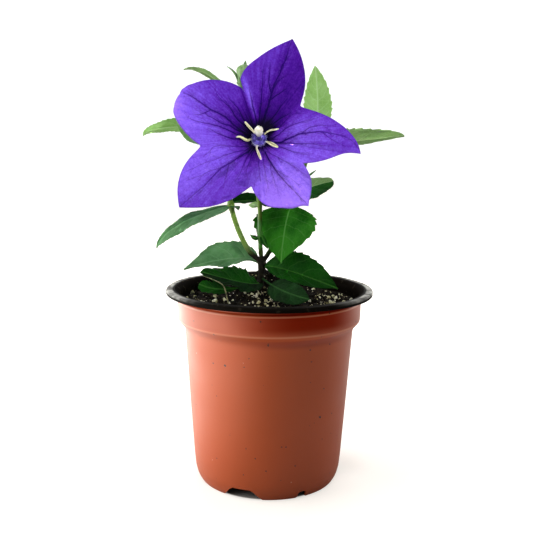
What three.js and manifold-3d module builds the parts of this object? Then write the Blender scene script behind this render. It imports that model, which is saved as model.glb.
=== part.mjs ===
// A balloon flower plant in a round nursery pot. Millimetres, +Z up.
// The origin is the centre of the pot's foot, on the surface that the pot stands on.
// +X is the right-hand side and the flower looks towards -Y.
import * as THREE from 'three';
import { mergeVertices } from 'three/addons/utils/BufferGeometryUtils.js';
import Module from 'manifold-3d';

const wasm = await Module();
wasm.setup();

// Driving dimensions of the pot
const POT_SIDES = 48;
const RIM_RADIUS = 45;
const RIM_INNER_RADIUS = 41.6;
const POT_HEIGHT = 85;
const LIP_DROP = 2.1;
const SHEET = 0.8;
const COLLAR_RADIUS = 40;
const COLLAR_TOP = 81;
const COLLAR_FOOT = 72;
const STEP_FOOT = 67.5;
const WALL_TOP_RADIUS = 36.8;
const WALL_FOOT_RADIUS = 32.7;
const WALL_FOOT = 10;
const FOOT_RADIUS = 30.1;
const FOOT_WIDTH = 2.7;
const FLOOR_UNDERSIDE = 5.6;
const THIRD = (2 * Math.PI) / 3;
const BIG_NOTCH = { angle: -110, foot: 17, top: 9, height: 4.8 };
const SMALL_NOTCH = { angle: -62, foot: 4.2, top: 2.4, height: 3.3 };
const DRAIN_RADIUS = 2.4;
const DRAIN_CIRCLE = 20;

// Driving dimensions of the fill
const SOIL_LEVEL = 79.3;
const HEAP_HEIGHT = 11;
const HEAP_SPREAD = 8.5;
const HEAP_AT = [-3, 12];
const SOIL_SIDES = 40;

// The clearance that neighbouring pieces keep
const GAP = 0.3;
const SEAT_GAP = 0.55;

// Driving dimensions of the plant
const CROWN = new THREE.Vector3(-3.4, 0, 96);
const TRUNK_FOOT = new THREE.Vector3(-4.2, 0.4, 78);
const TRUNK_RADIUS = 1.45;
const CROWN_RADIUS = 1.9;
const ROOT_TIP = 44;
const ROOT_RADIUS = 3.6;
const FORK_LENGTH = 7;
const FORK_STEPS = 5;
const STEM_STEPS = 16;
const BLADE_THICKNESS = 0.6;
const PETIOLE_HALF_WIDTH = 0.55;
const TIP_HALF_WIDTH = 0.15;
const BLADE_GRID = { across: 4, along: 7 };

// Driving dimensions of the flower
const THROAT = new THREE.Vector3(-5, -6, 148.6);
const FLOWER_TILT = 10;
const THROAT_RADIUS = 2.2;
const PETAL_THICKNESS = 0.5;
const THROAT_SLOPE = 30;
const EDGE_SLOPE = 15;
const DOME_RADIUS = 2.8;
const DOME_HEIGHT = 4.6;
const STYLE_RADIUS = 0.8;
const STIGMA_RADIUS = 1.95;
const BUD_RADIUS = 4;

// Colours, roughness and metalness
const finish = (color, roughness) => new THREE.MeshStandardMaterial({ color, roughness, metalness: 0 });
const TERRACOTTA = finish(0xc0684a, 0.45);
const PEAT = finish(0x1c1410, 0.95);
const ROOT_BROWN = finish(0x4a3a22, 0.8);
const STEM_GREEN = finish(0x94b860, 0.55);
const LEAF_GREEN = finish(0x2c6a28, 0.5);
const YOUNG_GREEN = finish(0x8fbf68, 0.5);
const PETAL_VIOLET = finish(0x6a3cc8, 0.55);
const DOME_VIOLET = finish(0x5a4aa8, 0.7);
const IVORY = finish(0xf0ecc8, 0.5);
const ANTHER_CREAM = finish(0xe0dca0, 0.6);
const BUD_GREEN = finish(0xa8cc88, 0.5);

const plant = new THREE.Group();

// One named mesh in the group
function add(name, geometry, material) {
  const mesh = new THREE.Mesh(geometry, material);
  mesh.name = name;
  plant.add(mesh);
  return mesh;
}

// Solids for joins and cuts
function solidOf(geometry) {
  const bare = geometry.clone();
  for (const attribute of Object.keys(bare.attributes)) {
    if (attribute !== 'position') bare.deleteAttribute(attribute);
  }
  const merged = mergeVertices(bare, 1e-4);
  const vertProperties = new Float32Array(merged.attributes.position.array);
  const triVerts = new Uint32Array(merged.index.array);
  return new wasm.Manifold(new wasm.Mesh({ numProp: 3, vertProperties, triVerts }));
}

function geometryOf(solid) {
  const mesh = solid.getMesh();
  const geometry = new THREE.BufferGeometry();
  geometry.setAttribute('position', new THREE.BufferAttribute(mesh.vertProperties, 3));
  geometry.setIndex(new THREE.BufferAttribute(mesh.triVerts, 1));
  return geometry;
}

// Moves every vertex of a geometry to where a function puts it
function bend(geometry, place) {
  const position = geometry.attributes.position;
  const vertex = new THREE.Vector3();
  for (let i = 0; i < position.count; i += 1) {
    vertex.fromBufferAttribute(position, i);
    place(vertex);
    position.setXYZ(i, vertex.x, vertex.y, vertex.z);
  }
  return geometry;
}

// A profile of [radius, height] pairs turned about the Z axis
function turned(profile, sides) {
  const points = profile.map(([radius, height]) => new THREE.Vector2(radius, height));
  return new THREE.LatheGeometry(points, sides).rotateX(Math.PI / 2);
}

// A round rod of one radius along a curve
function rod(curve, radius, steps, corners = 4) {
  const section = new THREE.Shape().absarc(0, 0, radius, 0, 2 * Math.PI);
  const options = { steps, extrudePath: curve, bevelEnabled: false, curveSegments: corners };
  return new THREE.ExtrudeGeometry(section, options);
}

// The stretch of a curve between two shares of its length, as a curve of its own
function stretch(curve, from, to, points = 9) {
  const places = [];
  for (let i = 0; i < points; i += 1) {
    places.push(curve.getPointAt(from + ((to - from) * i) / (points - 1)));
  }
  return new THREE.CatmullRomCurve3(places);
}

// The pot: a thin shell with a rolled rim, a collar, a slightly tapered wall and a raised floor
function potProfile() {
  const lipFoot = POT_HEIGHT - LIP_DROP;
  const top = POT_HEIGHT;
  const inner = (radius) => radius - SHEET;
  return [
    [0, FLOOR_UNDERSIDE],
    [FOOT_RADIUS - FOOT_WIDTH, FLOOR_UNDERSIDE],
    [FOOT_RADIUS - FOOT_WIDTH, 0],
    [FOOT_RADIUS, 0],
    [FOOT_RADIUS + 1.3, 2.2],
    [FOOT_RADIUS + 2.1, 5.5],
    [WALL_FOOT_RADIUS, WALL_FOOT],
    [WALL_TOP_RADIUS, STEP_FOOT],
    [COLLAR_RADIUS - 0.9, COLLAR_FOOT - 1.6],
    [COLLAR_RADIUS - 0.2, COLLAR_FOOT],
    [COLLAR_RADIUS, COLLAR_TOP - 0.3],
    [COLLAR_RADIUS - 0.4, COLLAR_TOP],
    [COLLAR_RADIUS - 0.3, top - 1.9],
    [RIM_INNER_RADIUS, top - SHEET],
    [RIM_RADIUS - SHEET, top - SHEET],
    [RIM_RADIUS - SHEET, lipFoot],
    [RIM_RADIUS, lipFoot],
    [RIM_RADIUS, top - 0.4],
    [RIM_RADIUS - 0.4, top],
    [RIM_INNER_RADIUS, top],
    [RIM_INNER_RADIUS - 0.8, top - 0.4],
    [inner(COLLAR_RADIUS - 0.3), top - 2],
    [inner(COLLAR_RADIUS - 0.4), COLLAR_TOP],
    [inner(COLLAR_RADIUS - 0.2), COLLAR_FOOT],
    [inner(WALL_TOP_RADIUS), STEP_FOOT],
    [inner(WALL_FOOT_RADIUS), WALL_FOOT],
    [inner(FOOT_RADIUS), FLOOR_UNDERSIDE + SHEET],
    [0, FLOOR_UNDERSIDE + SHEET],
  ];
}

// A cutter that reaches through the foot ring, wide at the bottom and narrower at its top
function footCutter(notch, turn) {
  const outline = new THREE.Shape();
  const below = -1;
  outline.moveTo(-notch.foot / 2, below);
  outline.lineTo(notch.foot / 2, below);
  outline.lineTo(notch.foot / 2, 0);
  outline.lineTo(notch.top / 2, notch.height);
  outline.lineTo(-notch.top / 2, notch.height);
  outline.lineTo(-notch.foot / 2, 0);
  const depth = 12;
  const prism = new THREE.ExtrudeGeometry(outline, { depth, bevelEnabled: false });
  prism.translate(0, 0, FOOT_RADIUS - depth / 2 - 2);
  prism.rotateX(Math.PI / 2);
  prism.rotateZ(THREE.MathUtils.degToRad(notch.angle + 90) + turn);
  return solidOf(prism);
}

function drainCutter(turn) {
  const hole = new THREE.CylinderGeometry(DRAIN_RADIUS, DRAIN_RADIUS, 4, 12);
  hole.rotateX(Math.PI / 2);
  hole.translate(DRAIN_CIRCLE, 0, FLOOR_UNDERSIDE + SHEET / 2);
  hole.rotateZ(turn);
  return solidOf(hole);
}

function potGeometry() {
  let shell = solidOf(turned(potProfile(), POT_SIDES));
  for (let i = 0; i < 3; i += 1) {
    shell = shell.subtract(footCutter(BIG_NOTCH, i * THIRD));
    shell = shell.subtract(footCutter(SMALL_NOTCH, i * THIRD));
    shell = shell.subtract(drainCutter(i * THIRD));
    shell = shell.subtract(drainCutter((i + 0.5) * THIRD));
  }
  return geometryOf(shell);
}

// The fleshy root and the short trunk above it
function rootProfile(clearance) {
  return [
    [0, ROOT_TIP - clearance],
    [0.6 + clearance, ROOT_TIP - clearance],
    [ROOT_RADIUS * 0.6 + clearance, 56],
    [ROOT_RADIUS + clearance, 68],
    [ROOT_RADIUS * 0.85 + clearance, 74],
    [TRUNK_RADIUS + clearance, 80],
    [TRUNK_RADIUS * 0.95 + clearance, 88],
    [TRUNK_RADIUS * 0.95 + clearance, CROWN.z],
    [0, CROWN.z],
  ];
}

function rootGeometry(clearance) {
  const root = turned(rootProfile(clearance), 12);
  root.translate(TRUNK_FOOT.x, TRUNK_FOOT.y, 0);
  return bend(root, (vertex) => {
    const share = THREE.MathUtils.clamp((vertex.z - TRUNK_FOOT.z) / (CROWN.z - TRUNK_FOOT.z), 0, 1);
    vertex.x += share * (CROWN.x - TRUNK_FOOT.x);
    vertex.y += share * (CROWN.y - TRUNK_FOOT.y);
  });
}

// The peat follows the pot's inside and rises to a heap behind the trunk
function soilGeometry() {
  const wall = (radius) => radius - SHEET - GAP;
  const floor = FLOOR_UNDERSIDE + SHEET + GAP;
  const share = (SOIL_LEVEL - COLLAR_FOOT) / (COLLAR_TOP - COLLAR_FOOT);
  const topRadius = wall(COLLAR_RADIUS - 0.2 - 0.2 * share);
  const rings = [30, 22, 15, 9, 4];
  const profile = [
    [0, floor],
    [wall(FOOT_RADIUS), floor],
    [wall(WALL_FOOT_RADIUS), WALL_FOOT],
    [wall(WALL_TOP_RADIUS), STEP_FOOT],
    [wall(COLLAR_RADIUS - 0.2) - 0.1, COLLAR_FOOT],
    [topRadius, SOIL_LEVEL],
    ...rings.map((radius) => [radius, SOIL_LEVEL]),
    [0, SOIL_LEVEL],
  ];
  const fill = bend(turned(profile, SOIL_SIDES), (vertex) => {
    if (vertex.z < SOIL_LEVEL - 0.01) return;
    const away = Math.hypot(vertex.x - HEAP_AT[0], vertex.y - HEAP_AT[1]) / HEAP_SPREAD;
    vertex.z += HEAP_HEIGHT * Math.exp(-0.5 * away * away);
  });
  return geometryOf(solidOf(fill).subtract(solidOf(rootGeometry(GAP))));
}

// Centre lines of the three shoots, from the crown to their upper ends
const SHOOTS = {
  stem_left: {
    radius: 1.15,
    points: [
      [-3.4, 0, 96],
      [-8.6, 1, 100.2],
      [-11.4, 2, 104.6],
      [-14.3, 3, 110.8],
      [-17.1, 3, 120.1],
      [-18, 5, 128],
      [-15, 8.5, 137],
      [-10, 8, 143.5],
      [-5.4, 3.4, 147.1],
    ],
  },
  stem_middle: {
    radius: 0.95,
    points: [
      [-3.4, 0, 96],
      [-4, -2, 102],
      [-4.3, -3, 108],
      [-4.5, -3, 120.4],
      [-5.2, -2.6, 126],
      [-6, 4, 133],
      [-6.1, 13, 141],
      [-7.6, 17.4, 149],
      [-11, 18, 159],
      [-13.4, 16.8, 166],
      [-13, 15.5, 170.5],
    ],
  },
  stem_right: {
    radius: 0.95,
    points: [
      [-3.4, 0, 96],
      [0.4, 1, 101.2],
      [4.9, 1, 110.5],
      [8.9, 0, 120.2],
      [12.3, 3, 129.5],
      [14.9, 6, 138],
      [18.4, 10, 147.5],
      [21.2, 12, 155],
    ],
  },
};

for (const shoot of Object.values(SHOOTS)) {
  shoot.curve = new THREE.CatmullRomCurve3(shoot.points.map((place) => new THREE.Vector3(...place)));
  shoot.length = shoot.curve.getLength();
}

SHOOTS.rootstock = {
  radius: TRUNK_RADIUS,
  curve: new THREE.LineCurve3(TRUNK_FOOT, CROWN),
  length: TRUNK_FOOT.distanceTo(CROWN),
};

// The rootstock holds the first stretch of each shoot, up to where the shoots are clear of each other
function rootstockGeometry() {
  const crown = new THREE.SphereGeometry(CROWN_RADIUS, 12, 8).translate(CROWN.x, CROWN.y, CROWN.z);
  let stock = solidOf(rootGeometry(0)).add(solidOf(crown));
  for (const name of ['stem_left', 'stem_middle', 'stem_right']) {
    const shoot = SHOOTS[name];
    const fork = stretch(shoot.curve, 0, FORK_LENGTH / shoot.length, FORK_STEPS);
    stock = stock.add(solidOf(rod(fork, shoot.radius, FORK_STEPS)));
  }
  return geometryOf(stock);
}

function stemGeometry(shoot) {
  const start = (FORK_LENGTH + 2 * GAP) / shoot.length;
  return rod(stretch(shoot.curve, start, 1, STEM_STEPS), shoot.radius, STEM_STEPS);
}

// Half-width of a leaf along its midrib, one at its widest place. A low `full` gives a round leaf,
// a high one a pointed leaf, and `stalk` is the share of the midrib that is bare.
function leafOutline(u, widest, full, stalk) {
  const s = Math.max((u - stalk) / (1 - stalk), 0);
  const rise = (s / widest) ** (widest * full);
  const fall = ((1 - s) / (1 - widest)) ** ((1 - widest) * full);
  return rise * fall;
}

// A leaf: a thin blade bent along its midrib, folded along it and turned to look along `face`.
// `on` and `at` give the shoot and the share of its length where the leaf grows, `middle` and `tip`
// are points of the midrib, `fold` raises both halves and `curl` bends the margins, in degrees and mm.
// `sides` widens or narrows the two halves, and `young` marks the pale leaves.
function leafGeometry(leaf) {
  const shoot = SHOOTS[leaf.on];
  const node = shoot.curve.getPointAt(leaf.at);
  const along = shoot.curve.getTangentAt(leaf.at);
  const middle = new THREE.Vector3(...leaf.middle);
  const tip = new THREE.Vector3(...leaf.tip);
  const outward = middle.clone().sub(node);
  outward.addScaledVector(along, -outward.dot(along)).normalize();
  const base = node.clone().addScaledVector(outward, shoot.radius + SEAT_GAP);
  const control = middle.clone().multiplyScalar(2).sub(base.clone().add(tip).multiplyScalar(0.5));
  const midrib = new THREE.QuadraticBezierCurve3(base, control, tip);
  const face = new THREE.Vector3(...leaf.face);
  const fold = THREE.MathUtils.degToRad(leaf.fold);
  const widest = leaf.widest ?? 0.4;
  const full = leaf.full ?? 1.7;
  const [leftShare, rightShare] = leaf.sides ?? [1, 1];
  const blade = new THREE.BoxGeometry(1, 1, 1, BLADE_GRID.across, BLADE_GRID.along, 1);
  return bend(blade, (vertex) => {
    const u = vertex.y + 0.5;
    const v = 2 * vertex.x;
    const tangent = midrib.getTangent(u);
    const normal = face.clone().addScaledVector(tangent, -face.dot(tangent)).normalize();
    const side = new THREE.Vector3().crossVectors(tangent, normal);
    const stalk = THREE.MathUtils.lerp(PETIOLE_HALF_WIDTH, TIP_HALF_WIDTH, u);
    const outline = leafOutline(u, widest, full, leaf.stalk ?? 0);
    const half = Math.max(leaf.half * outline * (v < 0 ? leftShare : rightShare), stalk);
    const thin = 1 - 0.4 * Math.abs(v);
    const raised = Math.abs(v) * half * Math.sin(fold) + (leaf.curl ?? 0) * v * v * outline;
    const thick = vertex.z * BLADE_THICKNESS * thin;
    vertex.copy(midrib.getPoint(u));
    vertex.addScaledVector(side, v * half * Math.cos(fold));
    vertex.addScaledVector(normal, raised + thick);
  });
}

// The leaves, from the soil upwards
const LEAVES = [
  { name: 'leaf_soil_front', on: 'rootstock', at: 0.62, middle: [5.4, -19, 87.1], tip: [16, -29, 85.6],
    half: 5.6, face: [-0.28, -0.73, 0.62], fold: 6, curl: 0.5, widest: 0.45, full: 1.25, stalk: 0.25,
    sides: [0.92, 1.06] },
  { name: 'leaf_soil_left', on: 'rootstock', at: 0.5, middle: [-11.4, -6, 87.9],
    tip: [-29.3, -10, 93.1], half: 6.4, face: [0, -0.65, 0.76], fold: 18, widest: 0.5, full: 1.1,
    stalk: 0.1 },
  { name: 'leaf_lower_left', on: 'rootstock', at: 0.97, middle: [-16.4, 7, 96.6], tip: [-38.3, 5, 92],
    half: 9.2, face: [0, -0.52, 0.85], fold: 14, widest: 0.56, full: 3.1, sides: [0.76, 1.11] },
  { name: 'leaf_lower_right', on: 'rootstock', at: 0.9, middle: [7.8, -7, 93.7],
    tip: [28.8, -14, 87.3], half: 8.3, face: [0.07, -0.83, 0.55], fold: 20, widest: 0.6, full: 2.6,
    sides: [1.11, 0.8] },
  { name: 'leaf_middle_low_left', on: 'stem_middle', at: 0.14, middle: [-6.7, -4, 107.1],
    tip: [-8.5, -4.5, 108.6], half: 1.2, face: [-0.3, -0.8, 0.5], fold: 5 },
  { name: 'leaf_middle_low_right', on: 'stem_middle', at: 0.155, middle: [-2.4, -4.6, 105.4],
    tip: [-0.8, -5.6, 102.7], half: 1.3, face: [0.3, -0.8, 0.5], fold: 5 },
  { name: 'leaf_middle_hanging', on: 'stem_middle', at: 0.335, middle: [-1.2, -0.6, 122.2],
    tip: [3, 0.5, 120.8], half: 2.3, face: [0, -0.9, 0.4], fold: 8 },
  { name: 'leaf_middle_pale', on: 'stem_middle', at: 0.3, middle: [-7.4, -1.6, 121], tip: [-9.4, 0, 120.8],
    half: 1.6, face: [-0.2, -0.8, 0.6], fold: 5, young: true },
  { name: 'leaf_front_drooping', on: 'stem_right', at: 0.43, middle: [6.6, -4.5, 113],
    tip: [4.7, -8, 96.8], half: 15.9, face: [-0.55, -0.81, 0.2], fold: 5, widest: 0.49, full: 2.58,
    sides: [1.04, 1] },
  { name: 'leaf_right_folded', on: 'stem_right', at: 0.47, middle: [15, -3.4, 128.1],
    tip: [26.8, -3, 131.7], half: 7.8, face: [-0.3, -0.76, 0.58], fold: 10, widest: 0.57, full: 1.2,
    sides: [0.48, 1.22] },
  { name: 'leaf_right_sliver', on: 'stem_right', at: 0.6, middle: [17.2, 1.8, 134], tip: [19.4, 1.5, 136],
    half: 0.6, face: [0, -0.6, 0.8], fold: 10 },
  { name: 'leaf_right_back', on: 'stem_right', at: 0.45, middle: [12, 16, 127], tip: [14, 31, 128],
    half: 6, face: [0, -0.4, 0.9], fold: 14 },
  { name: 'leaf_left_long', on: 'stem_left', at: 0.46, middle: [-38, -8, 113.2],
    tip: [-48.1, -10, 103.1], half: 5.9, face: [-0.2, -0.62, 0.76], fold: 14, widest: 0.39, full: 1.5,
    sides: [1.2, 0.44] },
  { name: 'leaf_left_node_right', on: 'stem_left', at: 0.475, middle: [-7.4, 7, 122.2], tip: [3, 8, 119.6],
    half: 4, face: [0, -0.6, 0.8], fold: 25 },
  { name: 'leaf_left_node_small', on: 'stem_left', at: 0.45, middle: [-14.6, -4, 120.4],
    tip: [-13.4, -8, 119.4], half: 1.8, face: [0.2, -0.5, 0.8], fold: 5 },
  { name: 'leaf_left_back', on: 'stem_left', at: 0.62, middle: [-24, 20, 134], tip: [-32, 32, 131],
    half: 6.5, face: [-0.2, -0.2, 1], fold: 14 },
  { name: 'leaf_left_upper', on: 'stem_left', at: 0.72, middle: [-27, 1, 151.5],
    tip: [-40.3, -1, 156.7], half: 8, face: [-0.21, -0.96, 0.19], fold: 8, widest: 0.7, full: 2.14,
    young: true },
  { name: 'leaf_middle_back', on: 'stem_middle', at: 0.62, middle: [-2, 28, 146], tip: [4, 41, 143],
    half: 7, face: [0, -0.3, 1], fold: 14 },
  { name: 'leaf_upper_left', on: 'stem_middle', at: 0.76, middle: [-40.6, 18, 153.9],
    tip: [-55.9, 9, 150.2], half: 5.2, face: [-0.01, -0.76, 0.65], fold: 22, widest: 0.32, full: 0.92,
    sides: [1.09, 0.87], young: true },
  { name: 'leaf_upper_left_narrow', on: 'stem_middle', at: 0.92, middle: [-28.2, 20, 176.5],
    tip: [-39.3, 20, 179.2], half: 1.8, face: [-0.45, -0.5, 0.74], fold: 20, widest: 0.55, full: 1.76,
    young: true },
  { name: 'leaf_upper_back', on: 'stem_middle', at: 0.88, middle: [-6, 31, 170], tip: [-2, 42, 171],
    half: 5.5, face: [0, -0.4, 0.95], fold: 14, young: true },
  { name: 'leaf_upper_right_erect', on: 'stem_right', at: 0.965, middle: [19.8, 7.2, 165.4],
    tip: [18.4, 5.5, 180.1], half: 6.5, face: [0.11, -0.99, 0.1], fold: 10, widest: 0.41, full: 1.48,
    sides: [1.04, 0.96], young: true },
  { name: 'leaf_upper_right', on: 'stem_right', at: 0.93, middle: [31.2, 8, 148.2],
    tip: [57.4, 5, 151.3], half: 7.1, face: [0, -0.6, 0.8], fold: 20, widest: 0.51, full: 1.43,
    sides: [1.02, 0.99], young: true },
  { name: 'leaf_right_top_back', on: 'stem_right', at: 0.95, middle: [26, 24, 153], tip: [29, 36, 149],
    half: 6, face: [0, -0.3, 1], fold: 14 },
];

// The flower's own frame: e1 to the right, e2 upwards and axis out of the throat
const tilt = THREE.MathUtils.degToRad(FLOWER_TILT);
const flowerFrame = new THREE.Matrix4().makeBasis(
  new THREE.Vector3(1, 0, 0),
  new THREE.Vector3(0, Math.sin(tilt), Math.cos(tilt)),
  new THREE.Vector3(0, -Math.cos(tilt), Math.sin(tilt)),
);
flowerFrame.setPosition(THROAT);

// The five lobes, counter-clockwise from the right-hand one. Angles are in degrees in the flower's
// frame, and lengths run along the petal from the throat. `low` and `high` shape the two margins
// between the notch and the tip, `lean` closes the bell there and `curl` rolls the tip back.
const CORE_LENGTH = 22;
const SIDES_PER_LOBE = 10;
const RINGS = 6;
const LOBES = [
  { tip: -10, length: 44.6, low: [1, 1.45], high: [1, 1], lean: 0, curl: 3 },
  { tip: 71, length: 43.2, low: [1, 1], high: [1, 0.66], lean: 0, curl: 0 },
  { tip: 153, length: 44, low: [1, 1], high: [1, 0.8], lean: 0, curl: 26 },
  { tip: 224, length: 46.6, low: [1, 1], high: [1, 1.25], lean: 0, curl: 0 },
  { tip: 304, length: 41.4, low: [1, 0.62], high: [1, 0.62], lean: 14, curl: 0 },
];
const NOTCHES = [
  { angle: -32, length: 20.8 },
  { angle: 36, length: 22.4 },
  { angle: 107, length: 22.5 },
  { angle: 190, length: 25.4 },
  { angle: 263.5, length: 22.8 },
  { angle: 328, length: 20.8 },
];

// The point of the bell at a length from the throat, as [radius, height] in the flower's frame
function bellPoint(length, lean, curl) {
  const steps = 24;
  let radius = 0;
  let height = 0;
  for (let i = 0; i < steps; i += 1) {
    const here = ((i + 0.5) * length) / steps;
    const share = Math.min((here - THROAT_RADIUS) / 41, 1.2);
    const leaning = lean * THREE.MathUtils.clamp((here - 8) / 15, 0, 1);
    const rolling = curl * Math.max(here - 34, 0) * 0.5;
    const slope = THROAT_SLOPE + (EDGE_SLOPE - THROAT_SLOPE) * share + leaning - rolling;
    const turn = here < THROAT_RADIUS ? 0 : THREE.MathUtils.degToRad(slope);
    radius += (Math.cos(turn) * length) / steps;
    height += (Math.sin(turn) * length) / steps;
  }
  return [radius, height];
}

function corollaPoint(share, around) {
  const place = around * LOBES.length;
  const index = Math.min(Math.floor(place), LOBES.length - 1);
  const lobe = LOBES[index];
  const across = 2 * (place - index) - 1;
  const notch = NOTCHES[across < 0 ? index : index + 1];
  const [power, root] = across < 0 ? lobe.low : lobe.high;
  const away = Math.abs(across);
  const reach = (1 - away ** power) ** root;
  const edge = notch.length + (lobe.length - notch.length) * reach;
  const angle = THREE.MathUtils.degToRad(lobe.tip + (notch.angle - lobe.tip) * away);
  const inside = THREE.MathUtils.smoothstep(1 - away, 0, 0.7);
  const [radius, height] = bellPoint(share * edge, lobe.lean * inside, lobe.curl * inside);
  return new THREE.Vector3(radius * Math.cos(angle), radius * Math.sin(angle), height);
}

function corollaGeometry() {
  const first = THROAT_RADIUS / CORE_LENGTH;
  const shares = Array.from({ length: RINGS + 1 }, (_, i) => first + ((1 - first) * i) / RINGS);
  const profile = [
    ...shares.map((share) => new THREE.Vector2(share, -0.5)),
    ...shares.reverse().map((share) => new THREE.Vector2(share, 0.5)),
    new THREE.Vector2(first, -0.5),
  ];
  const disc = new THREE.LatheGeometry(profile, LOBES.length * SIDES_PER_LOBE);
  const petals = bend(disc, (vertex) => {
    const share = Math.hypot(vertex.x, vertex.z);
    const turn = Math.atan2(vertex.x, vertex.z) / (2 * Math.PI);
    const thick = vertex.y * PETAL_THICKNESS;
    vertex.copy(corollaPoint(share, turn < -1e-9 ? turn + 1 : Math.max(turn, 0)));
    vertex.z += thick;
  });
  return petals.applyMatrix4(flowerFrame);
}

// The ovary cup and its five sepals, behind the petals
function sepal(length, width, thickness) {
  return bend(new THREE.BoxGeometry(1, 1, 1, 1, 4, 1), (vertex) => {
    const u = vertex.y + 0.5;
    vertex.x *= width * (1 - u) + 0.2;
    vertex.z *= thickness;
    vertex.y = u * length;
  });
}

function calyxGeometry(cup, rise, reach) {
  let solid = solidOf(turned(cup, 10));
  for (let i = 0; i < LOBES.length; i += 1) {
    const blade = sepal(reach, 2.2, 0.5);
    blade.rotateX(THREE.MathUtils.degToRad(rise));
    blade.translate(0, cup[2][0] - 0.9, cup[2][1] - 0.5);
    blade.rotateZ(((i + 0.35) * 2 * Math.PI) / LOBES.length);
    solid = solid.add(solidOf(blade));
  }
  return geometryOf(solid);
}

function flowerCalyxGeometry() {
  const cup = [
    [0, -8],
    [1.1, -8],
    [2.9, -1.1],
    [1.5, -0.6],
    [0, -0.6],
  ];
  return calyxGeometry(cup, 6, 7).applyMatrix4(flowerFrame);
}

// The ring of broad filament feet, which the style passes through
function domeGeometry() {
  const bore = STYLE_RADIUS + GAP;
  const profile = [
    [bore, 0],
    [1.7, 0],
    [1.8, 1],
    [DOME_RADIUS, 2.2],
    [DOME_RADIUS * 0.93, 3.4],
    [DOME_RADIUS * 0.6, DOME_HEIGHT],
    [bore, DOME_HEIGHT],
    [bore, 0],
  ];
  return turned(profile, 15).applyMatrix4(flowerFrame);
}

// The column and the closed stigma on its end, leaning a little upwards
function styleGeometry() {
  const profile = [
    [0, 0],
    [STYLE_RADIUS, 0],
    [STYLE_RADIUS, DOME_HEIGHT + 2],
    [STIGMA_RADIUS * 0.7, DOME_HEIGHT + 4],
    [STIGMA_RADIUS, DOME_HEIGHT + 6],
    [STIGMA_RADIUS * 0.8, DOME_HEIGHT + 8],
    [0.4, DOME_HEIGHT + 9.4],
    [0, DOME_HEIGHT + 9.4],
  ];
  const column = bend(turned(profile, 12), (vertex) => {
    vertex.y += 0.014 * Math.max(vertex.z - DOME_HEIGHT, 0) ** 2;
  });
  return column.applyMatrix4(flowerFrame);
}

// The five spread anthers, each on a short thread that ends at the dome
const STAMENS = [
  { angle: 138, reach: 9.2, rise: 6 },
  { angle: 175, reach: 9.4, rise: 5.8 },
  { angle: 276, reach: 8.8, rise: 5.6 },
  { angle: 338, reach: 8.2, rise: 5.4 },
  { angle: 22, reach: 8.8, rise: 5.8 },
];

function stamenGeometry(stamen) {
  const start = DOME_RADIUS + SEAT_GAP;
  const long = stamen.reach - start;
  const spindle = bend(new THREE.CylinderGeometry(1, 1, 1, 6, 4), (vertex) => {
    const u = vertex.y + 0.5;
    const radius = 0.3 + 0.55 * Math.sin(Math.PI * u ** 0.7) ** 2;
    const across = vertex.x * radius;
    const up = vertex.z * radius;
    vertex.set(start + u * long, -across, 2.6 + (stamen.rise - 2.6) * u + up);
  });
  spindle.rotateZ(THREE.MathUtils.degToRad(stamen.angle));
  return spindle.applyMatrix4(flowerFrame);
}

// The frame of the closed bud, at the upper end of the middle shoot
function budFrame() {
  const shoot = SHOOTS.stem_middle.curve;
  const out = shoot.getTangentAt(1);
  const right = new THREE.Vector3(1, 0, 0).addScaledVector(out, -out.x).normalize();
  const frame = new THREE.Matrix4().makeBasis(right, new THREE.Vector3().crossVectors(out, right), out);
  return frame.setPosition(shoot.getPointAt(1));
}

function budCalyxGeometry() {
  const cup = [
    [0, GAP],
    [0.95, GAP],
    [2.3, 2.6],
    [1.3, 3],
    [0, 3],
  ];
  return calyxGeometry(cup, 62, 6.4).applyMatrix4(budFrame());
}

function budGeometry() {
  const profile = [
    [0, 3.3],
    [1, 3.3],
    [BUD_RADIUS * 0.55, 4.6],
    [BUD_RADIUS * 0.62, 6.6],
    [BUD_RADIUS * 0.85, 8.2],
    [BUD_RADIUS * 0.7, 9.8],
    [0.4, 11],
    [0, 11],
  ];
  return turned(profile, 15).applyMatrix4(budFrame());
}

// The whole plant in its pot
add('pot', potGeometry(), TERRACOTTA);
add('soil', soilGeometry(), PEAT);
add('rootstock', rootstockGeometry(), ROOT_BROWN);
add('stem_left', stemGeometry(SHOOTS.stem_left), STEM_GREEN);
add('stem_middle', stemGeometry(SHOOTS.stem_middle), STEM_GREEN);
add('stem_right', stemGeometry(SHOOTS.stem_right), STEM_GREEN);
for (const leaf of LEAVES) {
  add(leaf.name, leafGeometry(leaf), leaf.young ? YOUNG_GREEN : LEAF_GREEN);
}
add('calyx', flowerCalyxGeometry(), STEM_GREEN);
add('corolla', corollaGeometry(), PETAL_VIOLET);
add('filament_dome', domeGeometry(), DOME_VIOLET);
add('style', styleGeometry(), IVORY);
STAMENS.forEach((stamen, i) => add(`stamen_${i + 1}`, stamenGeometry(stamen), ANTHER_CREAM));
add('bud_calyx', budCalyxGeometry(), STEM_GREEN);
add('bud', budGeometry(), BUD_GREEN);

export default plant;
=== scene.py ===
# A balloon flower in its nursery pot, finished for the library: one section for each piece.
import math
import random
import bmesh
import bpy
import numpy as np
from mathutils import Matrix, Vector


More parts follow.
